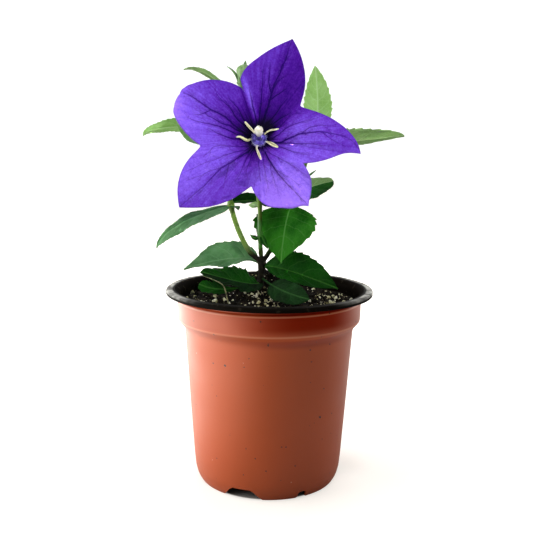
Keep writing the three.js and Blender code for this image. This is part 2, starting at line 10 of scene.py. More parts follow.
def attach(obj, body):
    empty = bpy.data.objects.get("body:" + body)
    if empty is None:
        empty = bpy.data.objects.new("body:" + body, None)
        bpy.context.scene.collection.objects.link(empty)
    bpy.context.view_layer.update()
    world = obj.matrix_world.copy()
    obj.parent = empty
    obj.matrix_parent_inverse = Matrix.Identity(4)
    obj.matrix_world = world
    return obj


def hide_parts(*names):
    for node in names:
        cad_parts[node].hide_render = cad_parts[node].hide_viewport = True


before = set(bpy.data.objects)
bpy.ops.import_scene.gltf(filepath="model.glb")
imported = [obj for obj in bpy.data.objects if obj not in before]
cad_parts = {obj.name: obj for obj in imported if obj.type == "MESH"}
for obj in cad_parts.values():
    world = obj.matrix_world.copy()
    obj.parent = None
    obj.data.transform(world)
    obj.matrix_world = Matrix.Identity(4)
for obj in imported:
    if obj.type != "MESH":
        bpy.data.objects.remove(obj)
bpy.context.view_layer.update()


# The pot is a round nursery pot, drawn from one thin sheet of plastic that is black on the inside
# and terracotta on the outside. Its flange, collar, step and notched foot are formed in one go.
MM = 0.001
POT_OUTSIDE = [(0.01, 5.6), (14, 5.6), (26.4, 5.6), (27.6, 5.2), (28.2, 4.2), (28.5, 1.0), (28.75, 0.2),
               (29.1, 0.0), (29.7, 0.0), (30.05, 0.12), (30.4, 0.7), (31.0, 1.7), (31.5, 2.9), (31.9, 4.4),
               (32.15, 5.4), (32.2, 5.75), (32.3, 6.6), (32.45, 8.2), (32.7, 10.5), (33.6, 23), (34.55, 36),
               (35.45, 49), (36.3, 61), (36.75, 66.8), (36.85, 67.7), (37.1, 68.5), (37.6, 69.3), (38.7, 70.6),
               (39.35, 71.3), (39.65, 71.7), (39.8, 72.15), (39.85, 73), (39.95, 77), (40.0, 79.8), (39.95, 80.4),
               (39.8, 80.8), (39.5, 81.05), (39.3, 81.3), (39.4, 82.2), (39.9, 83.1), (40.8, 83.75), (42.2, 84.0),
               (43.6, 84.0), (43.9, 83.8), (44.05, 83.4), (44.1, 82.95), (44.35, 82.85), (44.75, 82.9)]
POT_INSIDE = [(44.95, 83.15), (45.0, 83.9), (44.9, 84.5), (44.6, 84.85), (44.0, 85.0), (42.4, 85.0), (41.2, 84.9),
              (40.3, 84.5), (39.4, 83.7), (38.8, 82.6), (38.65, 81.4), (38.9, 80.0), (38.95, 77), (38.85, 73),
              (38.6, 72), (37.6, 70.6), (36.3, 69), (35.9, 67.6), (35.4, 61), (34.5, 49), (33.6, 36), (32.7, 23),
              (31.8, 10.5), (31.2, 7.6), (30.4, 6.7), (28, 6.4), (14, 6.4), (0.01, 6.4)]
POT_SIDES = 216
TERRACOTTA_STARTS = (29.1, 0.0)
TERRACOTTA_ENDS = (43.6, 84.0)
FLANGE_INNER_RADIUS = 41.6
BIG_NOTCH = {"angle": -110, "foot": 16.6, "top": 8.8, "height": 4.8}
SMALL_NOTCH = {"angle": -62, "foot": 4.2, "top": 2.4, "height": 3.3}
DRAIN_RADIUS = 2.4
DRAIN_CIRCLE = 20
RIM_FOOT = 82


class Value:
    """The output of a node. Its operators add math nodes, so that a formula of nodes reads as one."""

    def __init__(self, socket):
        self.socket = socket

    def math(self, operation, *others):
        return add_node(self.socket.id_data, "ShaderNodeMath", dict(enumerate((self, *others))),
                        operation=operation)

    def other(self, name):
        return Value(self.socket.node.outputs[name])

    def __add__(self, second):
        return self.math("ADD", second)

    def __sub__(self, second):
        return self.math("SUBTRACT", second)

    def __mul__(self, second):
        return self.math("MULTIPLY", second)

    def __pow__(self, second):
        return self.math("POWER", second)

    def most(self, second):
        return self.math("MAXIMUM", second)

    def between(self, low, high, first=0, last=1):
        """Mapped smoothly from between low and high to between first and last."""
        return add_node(self.socket.id_data, "ShaderNodeMapRange", {
            "Value": self, "From Min": low, "From Max": high, "To Min": first, "To Max": last},
            interpolation_type="SMOOTHSTEP")

    def band(self, low, full, still_full, high):
        """A share of one in a band of values, which fades out on both sides."""
        return self.between(low, full) * self.between(still_full, high, 1, 0)

    def ramp(self, *stops):
        """Mapped through stops of (value, colour or grey)."""
        made = add_node(self.socket.id_data, "ShaderNodeValToRGB", {"Fac": self})
        elements = made.socket.node.color_ramp.elements
        while len(elements) < len(stops):
            elements.new(0.5)
        for element, (position, colour) in zip(elements, stops):
            element.position = position
            element.color = (*colour, 1) if isinstance(colour, tuple) else (colour, colour, colour, 1)
        return made


def feed(tree, socket, value):
    """Links a value to a socket, or sets it there as a constant."""
    if isinstance(value, Value):
        tree.links.new(value.socket, socket)
    else:
        socket.default_value = (*value, 1) if socket.type == "RGBA" and len(value) == 3 else value


def add_node(tree, kind, inputs=None, output=0, **settings):
    made = tree.nodes.new(kind)
    for key, value in settings.items():
        setattr(made, key, value)
    for key, value in (inputs or {}).items():
        feed(tree, made.inputs[key], value)
    return Value(made.outputs[output])


def new_growth(name, sizes):
    """A geometry tree with a named input for each size: the tree, and what it is given by name."""
    tree = bpy.data.node_groups.new(name, "GeometryNodeTree")
    kinds = {int: "NodeSocketInt", float: "NodeSocketFloat"}
    tree.interface.new_socket("Geometry", in_out="INPUT", socket_type="NodeSocketGeometry")
    for label, value in sizes.items():
        made = tree.interface.new_socket(label, in_out="INPUT", socket_type=kinds[type(value)])
        made.default_value = value
    tree.interface.new_socket("Material", in_out="INPUT", socket_type="NodeSocketMaterial")
    tree.interface.new_socket("Geometry", in_out="OUTPUT", socket_type="NodeSocketGeometry")
    start = tree.nodes.new("NodeGroupInput")
    return tree, {socket.name: Value(socket) for socket in start.outputs if socket.name}


def end_growth(tree, given, geometry):
    """Ends a geometry tree: its instances are made real and its material is set."""
    real = add_node(tree, "GeometryNodeRealizeInstances", {"Geometry": geometry})
    painted = add_node(tree, "GeometryNodeSetMaterial", {"Geometry": real, "Material": given["Material"]})
    feed(tree, tree.nodes.new("NodeGroupOutput").inputs["Geometry"], painted)
    return tree


def grown(name, start, tree, mat, sizes):
    """The plain mesh that a tree makes of a start object, which is then thrown away."""
    modifier = start.modifiers.new(tree.name, "NODES")
    modifier.node_group = tree
    for item in tree.interface.items_tree:
        if item.in_out == "INPUT" and item.name in sizes:
            modifier[item.identifier] = sizes[item.name]
        elif item.in_out == "INPUT" and item.name == "Material":
            modifier[item.identifier] = mat
    bpy.context.view_layer.update()
    made = start.evaluated_get(bpy.context.evaluated_depsgraph_get())
    mesh = bpy.data.meshes.new_from_object(made)
    mesh.name = name
    bpy.data.objects.remove(start)
    return placed_object(name, mesh)


def placed_object(name, data):
    made = bpy.data.objects.new(name, data)
    bpy.context.collection.objects.link(made)
    return made


def line_object(name, lines, closed=False):
    """A curve object of straight splines, each a list of (point in mm, radius as a factor)."""
    curve = bpy.data.curves.new(name, "CURVE")
    curve.dimensions = "3D"
    for line in lines:
        spline = curve.splines.new("POLY")
        spline.points.add(len(line) - 1)
        spline.use_cyclic_u = closed
        for point, (place, radius) in zip(spline.points, line):
            point.co = (*[value * MM for value in place], 1)
            point.radius = radius
    return placed_object(name, curve)


PATH_RADIUS = 10
WELD = 0.00003


def turned_tree():
    """Turns a closed profile in the XY plane about the Z axis."""
    tree, given = new_growth("Turned shell", {"Sides": 96, "Path Radius": 0.01})
    path = add_node(tree, "GeometryNodeCurvePrimitiveCircle", {
        "Resolution": given["Sides"], "Radius": given["Path Radius"]})
    shell = add_node(tree, "GeometryNodeCurveToMesh", {"Curve": path, "Profile Curve": given["Geometry"]})
    welded = add_node(tree, "GeometryNodeMergeByDistance", {"Geometry": shell, "Distance": WELD})
    return end_growth(tree, given, welded)


TURNED = turned_tree()


def turned_piece(name, profile, sides, mat):
    """A closed profile of (radius, height) in mm, turned about the Z axis."""
    line = [((radius - PATH_RADIUS, -height, 0), 1) for radius, height in profile]
    piece = grown(name, line_object(name + "_profile", [line], closed=True), TURNED, mat,
                  {"Sides": sides, "Path Radius": PATH_RADIUS * MM})
    face_out(piece)
    return piece


def face_out(piece):
    """Drops loose edges and turns all faces outwards."""
    work = bmesh.new()
    work.from_mesh(piece.data)
    bmesh.ops.delete(work, geom=[edge for edge in work.edges if not edge.link_faces], context="EDGES")
    bmesh.ops.recalc_face_normals(work, faces=work.faces)
    work.to_mesh(piece.data)
    work.free()


def finished(piece, materials, sharp=180):
    """Gives a piece its materials and smooth shading, with edges sharper than an angle in degrees."""
    if len(piece.data.materials):  # clearing an empty list would reset which face has which material
        piece.data.materials.clear()
    for mat in materials:
        piece.data.materials.append(mat)
    piece.data.shade_smooth()
    if sharp < 180:
        piece.data.set_sharp_from_angle(angle=math.radians(sharp))


def mesh_piece(name, points, faces):
    mesh = bpy.data.meshes.new(name)
    mesh.from_pydata((np.asarray(points, float) * MM).tolist(), [], faces)
    mesh.update()
    return placed_object(name, mesh)


def foot_cutter():
    """All that is cut from the foot: three wide and three small notches and six drain holes."""
    prisms = []
    for third in range(3):
        for notch in (BIG_NOTCH, SMALL_NOTCH):
            foot, top, height = notch["foot"] / 2, notch["top"] / 2, notch["height"]
            soft = 0.2 * height
            right = [(foot + 1.6, -2), (foot + 0.5, 0), (foot - 0.2, 0.5), (top + soft, height - soft),
                     (top - soft * 0.6, height)]
            left = [(-x, z) for x, z in right[::-1]]
            outline = left[-1:] + right + left[:-1]
            turn = math.radians(notch["angle"] + 90) + third * math.tau / 3
            c, s = math.cos(turn), math.sin(turn)
            prisms.append([[(x * c - y * s, x * s + y * c, z) for x, z in outline] for y in (-36, -24)])
    for hole in range(6):
        x = DRAIN_CIRCLE * math.cos(hole * math.tau / 6)
        y = DRAIN_CIRCLE * math.sin(hole * math.tau / 6)
        ring = [(x + DRAIN_RADIUS * math.cos(k * math.tau / 24), y + DRAIN_RADIUS * math.sin(k * math.tau / 24))
                for k in range(24)]
        prisms.append([[(px, py, z) for px, py in ring] for z in (4.5, 7.5)])
    points, faces = [], []
    for low, high in prisms:
        start, count = len(points), len(low)
        points += low + high
        faces += [(start + i, start + (i + 1) % count, start + count + (i + 1) % count, start + count + i)
                  for i in range(count)]
        faces += [tuple(range(start, start + count))[::-1], tuple(range(start + count, start + 2 * count))]
    return mesh_piece("foot_cutter", points, faces)


class Paint:
    """A Principled material under way: its tree, its shader and the object coordinates of its piece."""

    def __init__(self, name, **inputs):
        self.mat = bpy.data.materials.new(name)
        self.mat.use_nodes = True
        self.tree = self.mat.node_tree
        self.shader = Value(self.tree.nodes["Principled BSDF"].outputs["BSDF"])
        self.place = self.node("TexCoord", output="Object")
        self.set(**inputs)

    def set(self, **inputs):
        """Sets or links inputs of the shader, named with _ for each space."""
        for name, value in inputs.items():
            feed(self.tree, self.shader.socket.node.inputs[name.replace("_", " ")], value)

    def node(self, kind, inputs=None, output=0, **settings):
        return add_node(self.tree, "ShaderNode" + kind, inputs, output, **settings)

    def noise(self, scale, detail=3, at=None):
        return self.node("TexNoise", {"Vector": at or self.place, "Scale": scale, "Detail": detail})

    def cells(self, scale, feature):
        return self.node("TexVoronoi", {"Vector": self.place, "Scale": scale}, feature=feature)

    def dots(self, scale, rarity, size):
        """Ragged little dots, one in some of the cells that fill space."""
        ragged = self.noise(scale * 6, 2)
        cell = self.cells(scale, "F1")
        chance = self.node("SeparateColor", {"Color": cell.other("Color")})
        edge = (chance.other("Green") + 0.5) * (ragged * (size * 2))
        return cell.math("LESS_THAN", edge) * chance.math("GREATER_THAN", rarity)

    def attribute(self, name, output="Fac"):
        return self.node("Attribute", output=output, attribute_type="GEOMETRY", attribute_name=name)

    def stretched(self, along):
        """The object coordinates with their Z scaled, for a grain that runs up the piece."""
        return self.node("Mapping", {"Vector": self.place, "Scale": (1, 1, along)})

    def split(self, of=None):
        x = self.node("SeparateXYZ", {"Vector": of or self.place})
        return x, x.other("Y"), x.other("Z")

    def from_axis(self):
        across, deep, _ = self.split()
        return (across ** 2 + deep ** 2).math("SQRT")

    def distance_to(self, *point):
        return self.node("VectorMath", {0: self.place, 1: point}, "Value", operation="DISTANCE")

    def mix(self, share, first, second, mode="MIX"):
        return self.node("Mix", {0: share, 6: first, 7: second}, 2, data_type="RGBA", blend_type=mode)

    def bumps(self, *layers):
        """Chained bumps, each (height, distance in metres, strength)."""
        normal = None
        for height, distance, strength in layers:
            inputs = {"Height": height, "Distance": distance, "Strength": strength}
            if normal:
                inputs["Normal"] = normal
            normal = self.node("Bump", inputs)
        self.set(Normal=normal)
        return normal

    def mix_in(self, kind, share, inputs):
        """Shows another shader, Diffuse or Translucent, for a share of this one."""
        second = self.node("Bsdf" + kind, inputs)
        both = self.node("MixShader", {"Fac": share, 1: self.shader, 2: second})
        feed(self.tree, self.tree.nodes["Material Output"].inputs["Surface"], both)
        return self.mat


def terracotta_plastic():
    """The outside, with dirt and dust, and painted light: painted shade on the collar and step, painted highlight
    lines, painted shade under the foot.
    """
    paint = Paint("terracotta_plastic", Specular_IOR_Level=0.52)
    across, deep, height = paint.split()
    # Painted shade: the collar under the flange is deepest in front, with a painted dark reflection just below
    # the step, and is matte there.
    front = across.band(-0.022, 0.012, 0.024, 0.040) * deep.math("LESS_THAN", 0)
    collar = front * height.between(0.0715, 0.0755)
    step = front * height.band(0.0655, 0.068, 0.0695, 0.0705)
    clouds = paint.noise(22, 2).ramp((0.35, 0), (0.7, 1))
    tone = paint.mix(clouds, (0.50, 0.078, 0.009), (0.46, 0.067, 0.006))
    # Painted shade under the lip, all round the collar.
    tone = paint.mix(height.between(0.0715, 0.0735) * 0.5, tone, (0.38, 0.05, 0.004))
    tone = paint.mix(collar.most(step * 0.6) * 0.85, tone, (0.25, 0.008, 0))
    # Two painted highlight lines, along the collar's lower and upper edges.
    painted_highlight_lines = height.band(0.0713, 0.0717, 0.0721, 0.0726).most(height.band(0.0797, 0.0800, 0.0804, 0.0807))
    tone = paint.mix(painted_highlight_lines * 0.45, tone, (0.75, 0.3, 0.16))
    specks = paint.dots(230, 0.85, 0.09).most(paint.dots(520, 0.93, 0.12))
    specks = specks.most(paint.dots(330, 0.88, 0.11) * height.between(0.064, 0.070))
    tone = paint.mix(specks, tone, (0.05, 0.02, 0.012))
    tone = paint.mix(paint.dots(300, 0.95, 0.06) * 0.5, tone, (0.78, 0.5, 0.36))
    tone = paint.mix(height.between(0, 0.02, 0.3, 0) * paint.noise(160, 4), tone, (0.2, 0.05, 0.015))
    # Painted shade under the foot: the inside of the foot ring is near black.
    depth = height * 0.35 + 0.0296 - paint.from_axis()
    tone = paint.mix(depth.between(0, 0.0003) * height.between(0.0052, 0.0055, 1, 0), tone,
                     (0.012, 0.008, 0.007))
    paint.set(Base_Color=tone, Roughness=paint.noise(60, 4).ramp((0.3, 0.38), (0.75, 0.48)))
    paint.bumps((paint.noise(130, 2, paint.stretched(0.08)), 0.0004, 0.12),
                (paint.noise(900, 3), 0.00008, 0.25), (specks, 0.0003, 0.5))
    return paint.mix_in("Diffuse", collar * 0.9, {"Color": tone})


def black_plastic(name, matt):
    """The inside and the flange: dust with a painted sheen on the flange but in front, a painted glint on its
    right front, and specks of peat.
    """
    paint = Paint(name, Specular_IOR_Level=0.06)
    across, deep, height = paint.split()
    worn = paint.noise(170, 5).ramp((0.38, 0.25), (0.66, 1))
    ring = paint.from_axis().between(0.0418, 0.0428) * height.between(0.0836, 0.0843)
    # Dust with a painted sheen on the flange's top, all round but the front.
    dust_and_sheen = worn * (ring * deep.between(-0.038, -0.012))
    soil = paint.noise(420, 2).ramp((0.62, 0), (0.68, 1))
    tone = paint.mix(dust_and_sheen, (0.004, 0.003, 0.002), (0.60, 0.59, 0.54))
    # A painted glint on the flange's right front.
    painted_glint = paint.distance_to(0.0438, -0.0085, 0.0846) + worn * -0.001
    tone = paint.mix(painted_glint.between(0.0002, 0.0011, 0.9, 0), tone, (0.85, 0.85, 0.8))
    tone = paint.mix(soil * 0.5, tone, (0.03, 0.024, 0.016))
    paint.set(Base_Color=tone, Roughness=dust_and_sheen.ramp((0, 0.5), (0.6, 0.7)))
    paint.bumps((paint.noise(260, 4), 0.0002, 0.3), (soil, 0.0003, 0.6))
    return paint.mix_in("Diffuse", matt, {"Color": tone})


TERRACOTTA, BLACK, BLACK_WALL = range(3)
pot_plastics = [terracotta_plastic(), black_plastic("black_plastic", 0.75), black_plastic("black_wall", 0.95)]
pot = turned_piece("pot_shell", POT_OUTSIDE + POT_INSIDE, POT_SIDES, pot_plastics[BLACK])
cutter = foot_cutter()
face_out(cutter)
cut = pot.modifiers.new("notches", "BOOLEAN")
cut.operation = "DIFFERENCE"
cut.object = cutter
cut.solver = "EXACT"
bpy.context.view_layer.update()
cut_mesh = bpy.data.meshes.new_from_object(pot.evaluated_get(bpy.context.evaluated_depsgraph_get()))
pot.modifiers.clear()
pot.data = cut_mesh
bpy.data.objects.remove(cutter)
finished(pot, pot_plastics, 38)
starts = np.array(POT_OUTSIDE + POT_INSIDE)
run = np.roll(starts, -1, axis=0) - starts
for face in pot.data.polygons:
    radius, height = here = np.array([math.hypot(face.center.x, face.center.y), face.center.z]) / MM
    share = np.clip(((here - starts) * run).sum(1) / (run * run).sum(1), 0, 1)
    gap = np.linalg.norm(starts + run * share[:, None] - here, axis=1)
    nearest = int(gap.argmin())
    outer = POT_OUTSIDE.index(TERRACOTTA_STARTS) <= nearest < POT_OUTSIDE.index(TERRACOTTA_ENDS)
    cut_face = gap[nearest] > 0.3 and height < 6 and radius > 28
    wall = radius < FLANGE_INNER_RADIUS and height > 8
    face.material_index = TERRACOTTA if outer or cut_face else BLACK_WALL if wall else BLACK
for vertex in pot.data.vertices:
    around = math.atan2(vertex.co.y, vertex.co.x)
    lift = max(0.0, vertex.co.z / MM - RIM_FOOT) / 3
    vertex.co.z += lift * MM * (0.10 * math.sin(3 * around + 0.6) + 0.07 * math.sin(7 * around + 2) - 0.12)
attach(pot, "root")
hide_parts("pot")


# The peat is a loose dark fill that follows the inside of the pot and rises to a heap behind the
# trunk. Its top is crumbly: crumbs of peat and grains of white perlite lie on a rough surface.
HEAP_AT = (-3, 12)
HEAP_HEIGHT = 11
HEAP_SPREAD = 8.5
GRAIN_DENSITY = 620000.0
SOIL_LEVEL = 79.3
SOIL_RADIUS = 38.5
PEAT_SIDE = [(0.01, 6.7), (27, 6.7), (30.0, 7.0), (31.3, 10), (32.3, 23), (33.2, 36), (34.1, 49), (35.0, 61),
             (35.5, 67.5), (36.6, 69.8), (38.2, 72.2), (38.5, 76), (38.5, 79.0)]
GRIT = [(0, -30, 1e9, 9, 0.65), (27, -12, 9, 16, 0.5), (-3, -6, 6, 8, 0.5), (-26, -5, 4, 4, 0.5)]


def fuzz(points, size, seed, rough=0.5, layers=4):
    """Soft value noise from -1 to 1 at an array of points, in waves of the given size."""
    rng = np.random.default_rng(seed)
    total = np.zeros(len(points))
    weight = 1.0
    for layer in range(layers):
        for _ in range(5):
            wave = rng.normal(size=3) / size
            total += weight * np.sin(points @ wave * 2.2 + rng.uniform(0, math.tau)) / 2.2
        size, weight = size / 2, weight * rough
    return total / 2


def peat_top(x, y):
    away = np.hypot(x - HEAP_AT[0], y - HEAP_AT[1]) / HEAP_SPREAD
    return SOIL_LEVEL + HEAP_HEIGHT * np.exp(-0.5 * away ** 2)


def scatter_tree():
    """Scatters rough grains over a surface, as many and as big as its inputs say."""
    tree, given = new_growth("Scattered grains", {
        "Density": 100000.0, "Radius": 0.001, "Smallest": 0.4, "Roughness": 0.4, "Detail": 500.0,
        "Seed": 1, "Subdivisions": 1, "Evenness": 1.0})
    open_top = add_node(tree, "GeometryNodeInputNamedAttribute", {"Name": "open"}, data_type="FLOAT")
    spots = add_node(tree, "GeometryNodeDistributePointsOnFaces", {
        "Mesh": given["Geometry"], "Seed": given["Seed"],
        "Density": given["Density"] * open_top ** given["Evenness"]})
    grain = add_node(tree, "GeometryNodeMeshIcoSphere", {
        "Radius": given["Radius"], "Subdivisions": given["Subdivisions"]})
    turn = add_node(tree, "FunctionNodeRandomValue", {
        "Min": (0, 0, 0), "Max": (6.28, 6.28, 6.28), "Seed": 5}, data_type="FLOAT_VECTOR")
    size = add_node(tree, "FunctionNodeRandomValue", {
        "Min": (0.35, 0.35, 0.35), "Max": (1.0, 0.9, 0.8), "Seed": 9}, data_type="FLOAT_VECTOR")
    rank = add_node(tree, "FunctionNodeRandomValue", {2: 0.0, 3: 1.0, "Seed": 12}, 1, data_type="FLOAT")
    whole = add_node(tree, "ShaderNodeMapRange", {
        "Value": rank ** 3, "To Min": given["Smallest"], "To Max": 1.0})
    scaled = add_node(tree, "ShaderNodeVectorMath", {0: size, "Scale": whole}, operation="SCALE")
    placed = add_node(tree, "GeometryNodeInstanceOnPoints", {
        "Points": spots, "Instance": grain, "Rotation": turn, "Scale": scaled})
    real = add_node(tree, "GeometryNodeRealizeInstances", {"Geometry": placed})
    wobble = add_node(tree, "ShaderNodeTexNoise", {"Scale": given["Detail"], "Detail": 1.0}, "Color")
    centred = add_node(tree, "ShaderNodeVectorMath", {0: wobble, 1: (0.5, 0.5, 0.5)}, operation="SUBTRACT")
    offset = add_node(tree, "ShaderNodeVectorMath", {
        0: centred, "Scale": given["Radius"] * given["Roughness"]}, operation="SCALE")
    rough = add_node(tree, "GeometryNodeSetPosition", {"Geometry": real, "Offset": offset})
    return end_growth(tree, given, rough)


def mark(piece, name, values, kind="FLOAT", domain="POINT"):
    """Stores values with the points or the faces of a piece."""
    made = piece.data.attributes.new(name, kind, domain)
    made.data.foreach_set("vector" if kind == "FLOAT_VECTOR" else "value", values)


def peat_bed():
    rings, around = 84, 200
    inner = [SOIL_RADIUS * (1 - k / rings) ** 0.9 for k in range(1, rings)]
    circles = PEAT_SIDE[1:] + [(radius, 0.0) for radius in inner]
    angles = np.arange(around) * math.tau / around
    points = [(0.0, 0.0, PEAT_SIDE[0][1])]
    for radius, height in circles:
        points += [(radius * math.cos(a), radius * math.sin(a), height) for a in angles]
    points = np.array(points + [(0.0, 0.0, 0.0)])
    upper = points[:, 2] == 0
    spot = points[upper].copy()
    hold = np.clip((SOIL_RADIUS - np.hypot(spot[:, 0], spot[:, 1])) / 3, 0, 1)
    rough = 0.9 * fuzz(spot, 6, 3) + 0.75 * np.abs(fuzz(spot, 2.2, 8, 0.6)) + 0.5 * fuzz(spot, 0.9, 4)
    trunk = np.hypot(spot[:, 0] + 4, spot[:, 1] - 0.4)
    spot[:, 2] = peat_top(spot[:, 0], spot[:, 1]) - 0.4 + hold * rough + 0.8 * np.exp(-(trunk / 4) ** 2)
    points[upper] = spot
    faces = [(0, 1 + (k + 1) % around, 1 + k) for k in range(around)]
    for ring in range(len(circles) - 1):
        a, b = 1 + ring * around, 1 + (ring + 1) * around
        faces += [(a + k, a + (k + 1) % around, b + (k + 1) % around, b + k) for k in range(around)]
    last = 1 + (len(circles) - 1) * around
    faces += [(last + k, last + (k + 1) % around, len(points) - 1) for k in range(around)]
    bed = mesh_piece("peat_bed", points, faces)
    shares = []
    for face in bed.data.polygons:
        x, y = face.center.x / MM, face.center.y / MM
        grit = 0.35 + sum(amount * math.exp(-((x - gx) / wide) ** 2 - ((y - gy) / deep) ** 2)
                          for gx, gy, wide, deep, amount in GRIT)
        opened = face.center.z > 0.0787 and face.normal.z > 0.1 and math.hypot(x, y) < 37.2
        shares.append(min(grit, 1.5) if opened else 0)
    mark(bed, "open", shares, domain="FACE")
    return bed


def scattered(name, mat, **sizes):
    """Grains on a copy of the peat bed."""
    start = placed_object(name + "_ground", bed.data.copy())
    return grown(name, start, SCATTER, mat, {"Density": GRAIN_DENSITY, **sizes})


peat = Paint("peat", Roughness=0.85, Specular_IOR_Level=0.05)
coarse, fine = peat.noise(260, 6), peat.noise(1500, 4)
tone = coarse.ramp((0.3, (0.0015, 0.001, 0.0007)), (0.5, (0.005, 0.0035, 0.002)), (0.72, (0.024, 0.017, 0.009)))
peat.set(Base_Color=peat.mix(fine.ramp((0.66, 0), (0.72, 1)) * 0.4, tone, (0.20, 0.16, 0.07)))
peat.bumps((coarse, 0.0012, 0.9), (fine, 0.0005, 0.8))
stone = Paint("perlite", Roughness=0.85)
tone = stone.noise(240, 4).ramp((0.34, (0.30, 0.27, 0.10)), (0.5, (0.66, 0.62, 0.36)), (0.66, (0.95, 0.93, 0.75)))
stain = stone.noise(700, 5).ramp((0.54, 0), (0.66, 1))
stone.set(Base_Color=stone.mix(stain * 0.7, tone, (0.05, 0.04, 0.015)))
stone.bumps((stone.noise(1500, 4), 0.0004, 0.8))

bed = peat_bed()
SCATTER = scatter_tree()
crumbs = scattered("peat_crumbs", peat.mat, Radius=1.15 * MM, Smallest=0.32, Roughness=1.3, Detail=900.0,
                   Seed=4, Subdivisions=1, Evenness=0.05)
perlite = scattered("perlite_grains", stone.mat, Radius=1.4 * MM, Smallest=0.2, Roughness=1.0,
                    Detail=700.0, Seed=21, Subdivisions=2, Evenness=2.2)
for piece, mat in ((bed, peat.mat), (crumbs, peat.mat), (perlite, stone.mat)):
    finished(piece, [mat])
    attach(piece, "root")
    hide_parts("soil")


# The rootstock is the fleshy root and short dark trunk of the plant, with the crown that its three
# shoots grow out of. It is one grown piece with the first few millimetres of each shoot.
FORK_LENGTH = 7
TRUNK_RADIUS = 1.45
CROWN = (-3.4, 0, 96)
SHOOTS = {
    "stem_left": (1.15, [CROWN, (-8.6, 1, 100.2), (-11.4, 2, 104.6), (-14.3, 3, 110.8), (-17.1, 3, 120.1),
                         (-18, 5, 128), (-15, 8.5, 137), (-10, 8, 143.5), (-5.4, 3.4, 147.1)]),
    "stem_middle": (0.95, [CROWN, (-4, -2, 102), (-4.3, -3, 108), (-4.5, -3, 120.4), (-5.2, -2.6, 126),
                           (-6, 4, 133), (-6.1, 13, 141), (-7.6, 17.4, 149), (-11, 18, 159),
                           (-13.4, 16.8, 166), (-13, 15.5, 170.5)]),
    "stem_right": (0.95, [CROWN, (0.4, 1, 101.2), (4.9, 1, 110.5), (8.9, 0, 120.2), (12.3, 3, 129.5),
                          (14.9, 6, 138), (18.4, 10, 147.5), (21.2, 12, 155)]),
    "rootstock": (TRUNK_RADIUS, [(-4.2, 0.4, 78), CROWN]),
}
STEMS = ("stem_left", "stem_middle", "stem_right")
ROOT_LINE = [
    ((-4.2, 0.4, 44), 0.45), ((-4.3, 0.2, 50), 1.0), ((-4.1, 0.5, 57), 1.75), ((-4.2, 0.4, 64), 2.35),
    ((-4.2, 0.4, 69), 2.45), ((-4.2, 0.4, 74), 2.0), ((-4.25, 0.4, 78), 1.25), ((-4.1, 0.35, 82), 1.0),
    ((-3.9, 0.3, 86), 0.92), ((-3.7, 0.15, 90), 0.98), ((-3.5, 0.05, 93.5), 1.15), ((-3.4, 0, 96), 1.3),
    ((-3.4, 0, 97.4), 0.75)]


def smooth_path(points, steps=40):
    """A dense line through points, by a centripetal spline, evenly spaced along its length."""
    p = [np.array(point, float) for point in points]
    if len(p) == 2:
        return np.linspace(p[0], p[1], 60)
    p = [2 * p[0] - p[1]] + p + [2 * p[-1] - p[-2]]
    dense = []
    for a, b, c, d in zip(p, p[1:], p[2:], p[3:]):
        ab, bc, cd = (math.sqrt(np.linalg.norm(q - r)) for q, r in ((a, b), (b, c), (c, d)))
        leave = ((b - a) / ab - (c - a) / (ab + bc) + (c - b) / bc) * bc
        arrive = ((c - b) / bc - (d - b) / (bc + cd) + (d - c) / cd) * bc
        for t in np.arange(steps) / steps:
            dense.append(b + leave * t + (3 * (c - b) - 2 * leave - arrive) * t * t
                         + (2 * (b - c) + leave + arrive) * t ** 3)
    dense = np.array(dense + [p[-2]])
    walked = np.concatenate([[0], np.cumsum(np.linalg.norm(np.diff(dense, axis=0), axis=1))])
    even = np.linspace(0, walked[-1], 240)
    return np.stack([np.interp(even, walked, dense[:, k]) for k in range(3)], axis=1)


def tube_tree():
    """A closed tube along a curve, whose radius follows the curve's own, with a rippled surface."""
    tree, given = new_growth("Grown tube", {
        "Radius": 0.001, "Sides": 14, "Spacing": 0.0006, "Ripple": 0.00005, "Ripple Size": 400.0})
    even = add_node(tree, "GeometryNodeResampleCurve", {
        "Curve": given["Geometry"], "Length": given["Spacing"]}, mode="LENGTH")
    section = add_node(tree, "GeometryNodeCurvePrimitiveCircle", {
        "Resolution": given["Sides"], "Radius": given["Radius"]})
    tube = add_node(tree, "GeometryNodeCurveToMesh", {
        "Curve": even, "Profile Curve": section, "Fill Caps": True,
        "Scale": add_node(tree, "GeometryNodeInputRadius")})
    wobble = add_node(tree, "ShaderNodeTexNoise", {"Scale": given["Ripple Size"], "Detail": 2.0})
    offset = add_node(tree, "ShaderNodeVectorMath", {
        0: add_node(tree, "GeometryNodeInputNormal"), "Scale": (wobble - 0.5) * given["Ripple"]},
        operation="SCALE")
    rippled = add_node(tree, "GeometryNodeSetPosition", {"Geometry": tube, "Offset": offset})
    return end_growth(tree, given, rippled)


TUBE = tube_tree()
PATHS = {name: smooth_path(points) for name, (radius, points) in SHOOTS.items()}


def tube_piece(name, lines, mat, radius, sides=16, ripple=0.00025, ripple_size=500.0):
    return grown(name, line_object(name + "_lines", lines), TUBE, mat, {
        "Radius": radius * MM, "Sides": sides, "Spacing": 0.5 * MM, "Ripple": ripple,
        "Ripple Size": ripple_size})


def length_of(path):
    return float(np.linalg.norm(np.diff(path, axis=0), axis=1).sum())


def piece_of(path, start, stop):
    share = np.linspace(0, 1, len(path))
    wanted = np.linspace(start, stop, max(int(240 * (stop - start)), 24))
    return np.stack([np.interp(wanted, share, path[:, k]) for k in range(3)], axis=1)


def point_at(path, share):
    place = np.array([np.interp(share, np.linspace(0, 1, len(path)), path[:, k]) for k in range(3)])
    near = piece_of(path, max(share - 0.01, 0), min(share + 0.01, 1))
    along = near[-1] - near[0]
    return place, along / np.linalg.norm(along)


